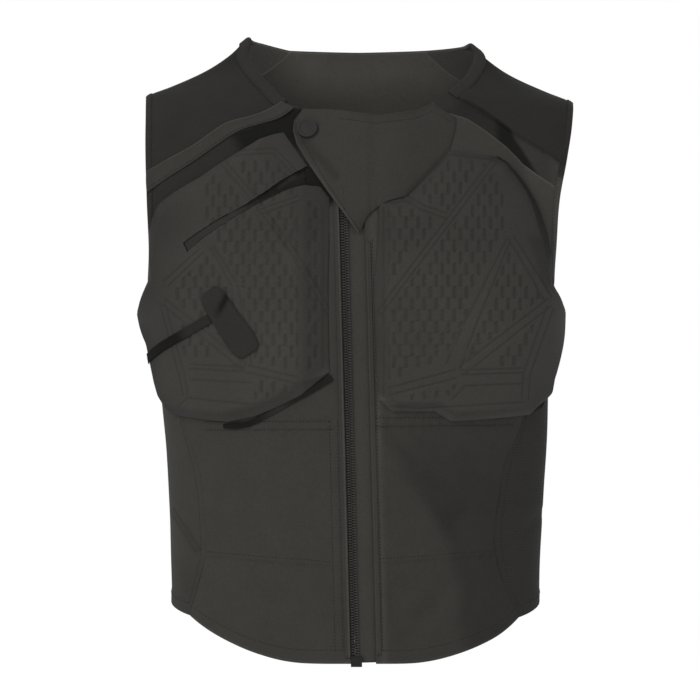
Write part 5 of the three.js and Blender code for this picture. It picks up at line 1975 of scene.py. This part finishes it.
@dataclass
class EdgeBindings:
    """Stretch binding folded round the neck and the armholes."""

    neck_width: float = 11.0
    arm_width: float = 5.5
    arm_height: float = 2.4
    arm_places: int = 240
    inner_light: float = 2.6
    # Below the yokes the armhole's edge is turned in with the front panel's own cloth; painted light makes it
    # lighter still, against the shade where the edge turns away.
    cloth_and_painted_light: float = 1.35

    def section(self, width: float, sign: float, top: float = 3.3) -> Array:
        """A folded strip's section, open toward the cloth that it holds."""
        outline = np.array(
            [
                (width, 1.8), (width + 0.1, top - 0.8), (width - 0.5, top - 0.3), (width * 0.6, top),
                (1.2, top), (-0.4, top - 0.4), (-1.3, 1.7), (-1.5, 0.8), (-1.2, -0.4), (-0.2, -1.0),
                (1.2, -1.1), (2.4, -0.9), (2.4, -0.4), (1.0, -0.4), (0.0, 0.2), (-0.3, 0.8),
                (0.0, 1.6), (0.8, 1.8),
            ]
        )
        return outline * (sign, 1.0)

    @property
    def inner(self) -> Array:
        """Which of a section's 18 corners lie on the inner fold."""
        return np.arange(18) > 5

    def neck_run(self) -> Array:
        """Chart places round the neck, from the wearer's left front over the back to the right."""
        left = PATTERN.neck(Side.LEFT).at(np.linspace(0.06, 1.0, 110))
        right = PATTERN.neck(Side.RIGHT).at(np.linspace(0.062, 1.0, 120))[::-1] + (FORM.girth, 0.0)
        corner = PATTERN.neck_back[Side.LEFT][-1]
        x = np.linspace(corner.x, -corner.x, 42)[1:-1]
        level = np.interp(np.abs(x), [0.0, corner.x], [PATTERN.neck_middle, corner.z])
        back = FORM.chart(Side.LEFT, x, level, back=True)
        return np.concatenate([left, back, right])

    def build(self) -> dict[str, Piece]:
        """Builds the three bindings."""
        run = self.neck_run()
        behind = rising(FORM.point(run)[:, 1], -5, 25)
        shade = 1.0 + self.inner_light * behind[:, None] * self.inner
        made = {"neck_binding": Maker.strip("neck_binding", run, self.gathered(run), KNIT, tone=shade)}
        for side in Side:
            line = PATTERN.armhole_run(side, 0.0, 1.0, self.arm_places)[:-1]
            sign = -float(side.value)
            name = side.named("armhole_binding")
            base, end = FORM.point(line), PATTERN.yoke_end[side]
            end += 14.0 if side is Side.LEFT else 0.0
            below = falling(base[:, 2], end, 6) * rising(base[:, 2], -236, 6) * (base[:, 1] < 0)
            section = self.section(self.arm_width, sign, self.arm_height)
            tone = 1.0 + self.cloth_and_painted_light * below
            made[name] = Maker.strip(name, line, section, KNIT, closed=True, tone=tone)
        for name, piece in made.items():
            settle(piece, KNIT, name)
        return made

    def gathered(self, run: Array) -> Array:
        """Sections along the neck, gathered up at the wearer's left front end."""
        reach = run_lengths(FORM.point(run))
        plain = self.section(self.neck_width, -1.0)
        sections = np.repeat(plain[None], len(run), axis=0)
        pleat = 0.9 * np.sin(reach * 0.75) * (1 - rising(reach, 14, 12))
        sections[:, :6, 1] += np.maximum(pleat, -0.3)[:, None]
        behind = rising(FORM.point(run)[:, 1], 20, 15)[:, None, None]
        return sections + behind * (np.array([-0.6, 1.1]) - sections) * self.inner[:, None]

    def sew(self, bindings: dict[str, Piece], thread: Stitching) -> None:
        """Sews a row near the inner edge of each binding."""
        run = self.neck_run()
        thread.sew(self.beside(run, 1.8 - self.neck_width), [bindings["neck_binding"]])
        for side in Side:
            line = PATTERN.armhole_run(side, 0.0, 1.0, self.arm_places)
            rim = self.beside(line, (self.arm_width - 1.5) * -float(side.value))
            thread.sew(rim, [bindings[side.named("armhole_binding")]])

    def beside(self, line: Array, offset: float) -> Array:
        """Chart places at a true distance beside a line."""
        base = FORM.point(line)
        _, across = FORM.frame(base)
        small = 0.5
        step = FORM.find(base + across * small) - FORM.find(base)
        step[:, 0] = np.mod(step[:, 0] + FORM.girth / 2, FORM.girth) - FORM.girth / 2
        return line + step * (offset / small)


@dataclass
class ZipClosure:
    """The front zip: two tapes, single teeth, the stop at its foot and the piped plackets beside it."""

    top: float = -84.0
    foot: float = -611.0
    # edges, as distances from the zip's middle
    tapes: dict[Side, tuple[float, float]] = by_side((-15.0, -0.1), (0.1, 27.0))
    # edges, as distances from the zip's middle, then top, foot and share of the piping's height
    plackets: dict[Side, tuple[float, ...]] = by_side(
        right=(-10.0, -4.7, -90, -606, 1.0),
        left=(20.5, 25.5, -200, -604, 0.28),
    )
    teeth_run: tuple[float, float] = (-86.0, -605.0)
    tooth_pitch: float = 2.6
    tooth_block: tuple[float, float, float] = (2.4, 1.35, 1.9)
    tooth_lift: float = 0.55
    tooth_shift: float = 2.6
    stop_block: tuple[float, float, float] = (11, 11, 2.7)
    stop_level: float = -609.5
    stop_lift: float = 0.85

    def build(self) -> None:
        """Builds every piece of the zip."""
        for side in Side:
            name = side.named("zip_tape")
            settle(self.tape(name, *self.tapes[side]), TAPE, name)
        for side in Side:
            name = side.named("placket")
            settle(self.placket(name, *self.plackets[side]), MAIN_CLOTH, name)
        self.build_teeth()
        self.build_stop()

    def tape(self, name: str, start: float, stop: float) -> Piece:
        """Builds one tape, ribbed along its length."""
        line = PATTERN.zip_run(0.0, self.top, self.foot, 3.0)
        low, high = -1.9, -0.9
        across = -np.linspace(start, stop, 20)
        rib = 0.18 * np.sin(np.linspace(start, stop, 20) * 2.2)
        top = np.stack([across, high + rib], axis=-1)
        bottom = np.stack([across, np.full(20, low)], axis=-1)[::-1]
        return Maker.strip(name, line, np.concatenate([top, bottom]), TAPE)

    def placket(
        self, name: str, start: float, stop: float, top: float, foot: float, piping: float
    ) -> Piece:
        """Builds one raised placket edge with a rounded piping."""
        line = PATTERN.zip_run(0.0, top, foot, 3.0)
        near, far = (stop, start) if abs(stop) < abs(start) else (start, stop)
        share = np.linspace(0, 1, 10)
        hump = piping * (1.1 * bell(share - 0.2, 0.22) - 0.35 * bell(share - 0.55, 0.1)) + 0.3 + 0.9 * piping
        hump[[0, -1]] = 0.5 * piping
        upper = np.stack([-(near + (far - near) * share), LAID - 0.7 + hump], axis=-1)
        lower = np.stack([-(near + (far - near) * share), np.full(10, LAID - 0.7)], axis=-1)[::-1]
        light = np.concatenate([1.0 + 0.6 * piping * bell(share - 0.15, 0.2), np.ones(10)])
        tone = np.tile(light, (len(line), 1))
        return Maker.strip(name, line, np.concatenate([upper, lower]), MAIN_CLOTH, tone=tone)

    def tooth(self) -> tuple[Array, list[list[int]]]:
        """Models one tooth: a block with a waist and a round head, its foot at the tape.

        Returns:
            Corners in millimetres, and faces.
        """
        block = Hands.block(*self.tooth_block)
        bpy.ops.object.mode_set(mode="EDIT")
        Hands.select_faces(block, lambda face: face.normal.x > 0.9)
        bpy.ops.mesh.extrude_region_move(TRANSFORM_OT_translate={"value": (0.5, 0, 0)})
        bpy.ops.transform.resize(value=(1, 0.55, 0.8))
        bpy.ops.mesh.extrude_region_move(TRANSFORM_OT_translate={"value": (1.1, 0, 0)})
        bpy.ops.transform.resize(value=(1, 1.7, 1.0))
        bpy.ops.object.mode_set(mode="OBJECT")
        Hands.bevel(block, 0.22, 1, 30.0)
        corners = np.array([vertex.co[:] for vertex in block.data.vertices])
        faces = [list(face.vertices) for face in block.data.polygons]
        bpy.data.objects.remove(block)
        return corners, faces

    def build_teeth(self) -> Piece:
        """Copies the tooth down both tapes, the two rows set between each other."""
        corners, faces = self.tooth()
        points, all_faces = [], []
        z = np.arange(*self.teeth_run, -self.tooth_pitch / 2)
        seats = FORM.chart(Side.LEFT, PATTERN.zip_x(z), z)
        base = FORM.point(seats)
        up = FORM.outward(base)
        for k in range(len(z)):
            sign = 1.0 if k % 2 else -1.0
            side = np.array([sign, 0.0, 0.0])
            y = np.cross(up[k], side)
            place = base[k] + up[k] * self.tooth_lift - side * self.tooth_shift
            turned = corners[:, :1] * side + corners[:, 1:2] * y + corners[:, 2:] * up[k]
            points.append(place + turned)
            all_faces += [[v + k * len(corners) for v in face] for face in faces]
        made = Maker.mesh_object("zip_teeth", np.concatenate(points), all_faces, ZIP_PLASTIC)
        made.data.set_sharp_from_angle(angle=math.radians(35))
        return settle(made, ZIP_PLASTIC, "zip_teeth")

    def build_stop(self) -> Piece:
        """Builds the box at the foot of the zip."""
        box = Hands.block(*(size * MM for size in self.stop_block))
        box.name = box.data.name = "zip_stop_box"
        bpy.ops.object.mode_set(mode="EDIT")
        Hands.select_faces(box, lambda face: face.normal.z > 0.9)
        Hands.step_in(1.6, -0.5)
        Hands.step_in(1.4, 0.5)
        bpy.ops.object.mode_set(mode="OBJECT")
        Hands.bevel(box, 0.5 * MM, 3, 30.0)
        z = np.array(self.stop_level)
        place = FORM.chart(Side.LEFT, PATTERN.zip_x(z) + 1.0, z)
        Hands.stand(box, FORM.lay(place, self.stop_lift), FORM.outward(FORM.point(place)))
        box.data.materials.append(ZIP_BOX.material())
        return settle(box, ZIP_BOX, "zip_stop")


@dataclass(frozen=True)
class Studio:
    """White surroundings, soft light, a pale floor and the camera of the photograph."""

    camera_place: tuple[float, float, float] = (-0.008, -5.0, -0.305)
    lens: float = 36.0 * 5000.0 / 700.0
    floor_level: float = -0.72
    floor_size: float = 3.0
    world_light: float = 1.0
    # name, place, power, size
    lamps: tuple[tuple[str, tuple[float, float, float], float, float], ...] = (
        ("key", (-2.2, -3.0, 1.5), 75.0, 1.6),
        ("fill", (2.4, -2.6, 0.4), 6.0, 2.0),
        ("rim", (0.6, 3.0, 1.4), 9.0, 1.8),
    )

    def build(self) -> None:
        """Builds the floor, lights, surroundings and camera."""
        scene = bpy.context.scene
        scene.view_settings.view_transform = "Standard"
        world = bpy.data.worlds.new("studio")
        world.use_nodes = True
        world.node_tree.nodes["Background"].inputs["Color"].default_value = (1, 1, 1, 1)
        world.node_tree.nodes["Background"].inputs["Strength"].default_value = self.world_light
        scene.world = world
        self.floor()
        for lamp in self.lamps:
            self.light(*lamp)
        camera = bpy.data.objects.new("camera", bpy.data.cameras.new("camera"))
        camera.data.sensor_width, camera.data.lens = 36.0, self.lens
        camera.data.clip_end = 60.0
        camera.location, camera.rotation_euler = self.camera_place, (math.pi / 2, 0.0, 0.0)
        scene.collection.objects.link(camera)
        scene.camera = camera

    def floor(self) -> None:
        """Builds the flat floor."""
        bpy.ops.object.select_all(action="DESELECT")
        bpy.ops.mesh.primitive_grid_add(x_subdivisions=12, y_subdivisions=12, size=self.floor_size)
        floor = bpy.context.active_object
        floor.name = floor.data.name = "studio_floor"
        floor.data.transform(Matrix.Translation((0, 0, self.floor_level)))
        floor.data.materials.append(FloorFinish().material())

    def light(self, name: str, place: tuple[float, float, float], power: float, size: float) -> None:
        """Adds one soft light that faces the middle of the vest."""
        lamp = bpy.data.lights.new(name, "AREA")
        lamp.energy, lamp.size = power, size
        made = bpy.data.objects.new(name, lamp)
        made.location = place
        aim = Vector((0, 0, self.camera_place[2])) - Vector(place)
        made.rotation_euler = aim.to_track_quat("-Z", "Y").to_euler()
        bpy.context.scene.collection.objects.link(made)


def main() -> None:
    """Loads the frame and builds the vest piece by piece."""
    logging.basicConfig(level=logging.INFO, format="%(name)s: %(message)s")
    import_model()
    Studio().build()
    thread = Stitching()
    fronts, sides, back = FrontPanels(), SidePanels(), BackPanel()
    yokes, pads, flap, edges = ShoulderYokes(), ChestPads(), CollarFlap(), EdgeBindings()
    front_panels = fronts.build()
    fronts.sew(front_panels, thread)
    side_panels = sides.build()
    sides.sew(side_panels, thread)
    back_panel = back.build()
    back.sew(back_panel, thread)
    yoke_pieces, trim = yokes.build(), yokes.build_trim()
    yokes.sew(trim, yoke_pieces, thread)
    pads.build()
    pads.build_insert()
    PadStraps(pads).build()
    flap_piece = flap.build()
    flap.sew(flap_piece, thread)
    flap.build_snap()
    edges.sew(edges.build(), thread)
    ZipClosure().build()
    thread.build("stitching", THREAD)


if __name__ == "__main__":
    main()
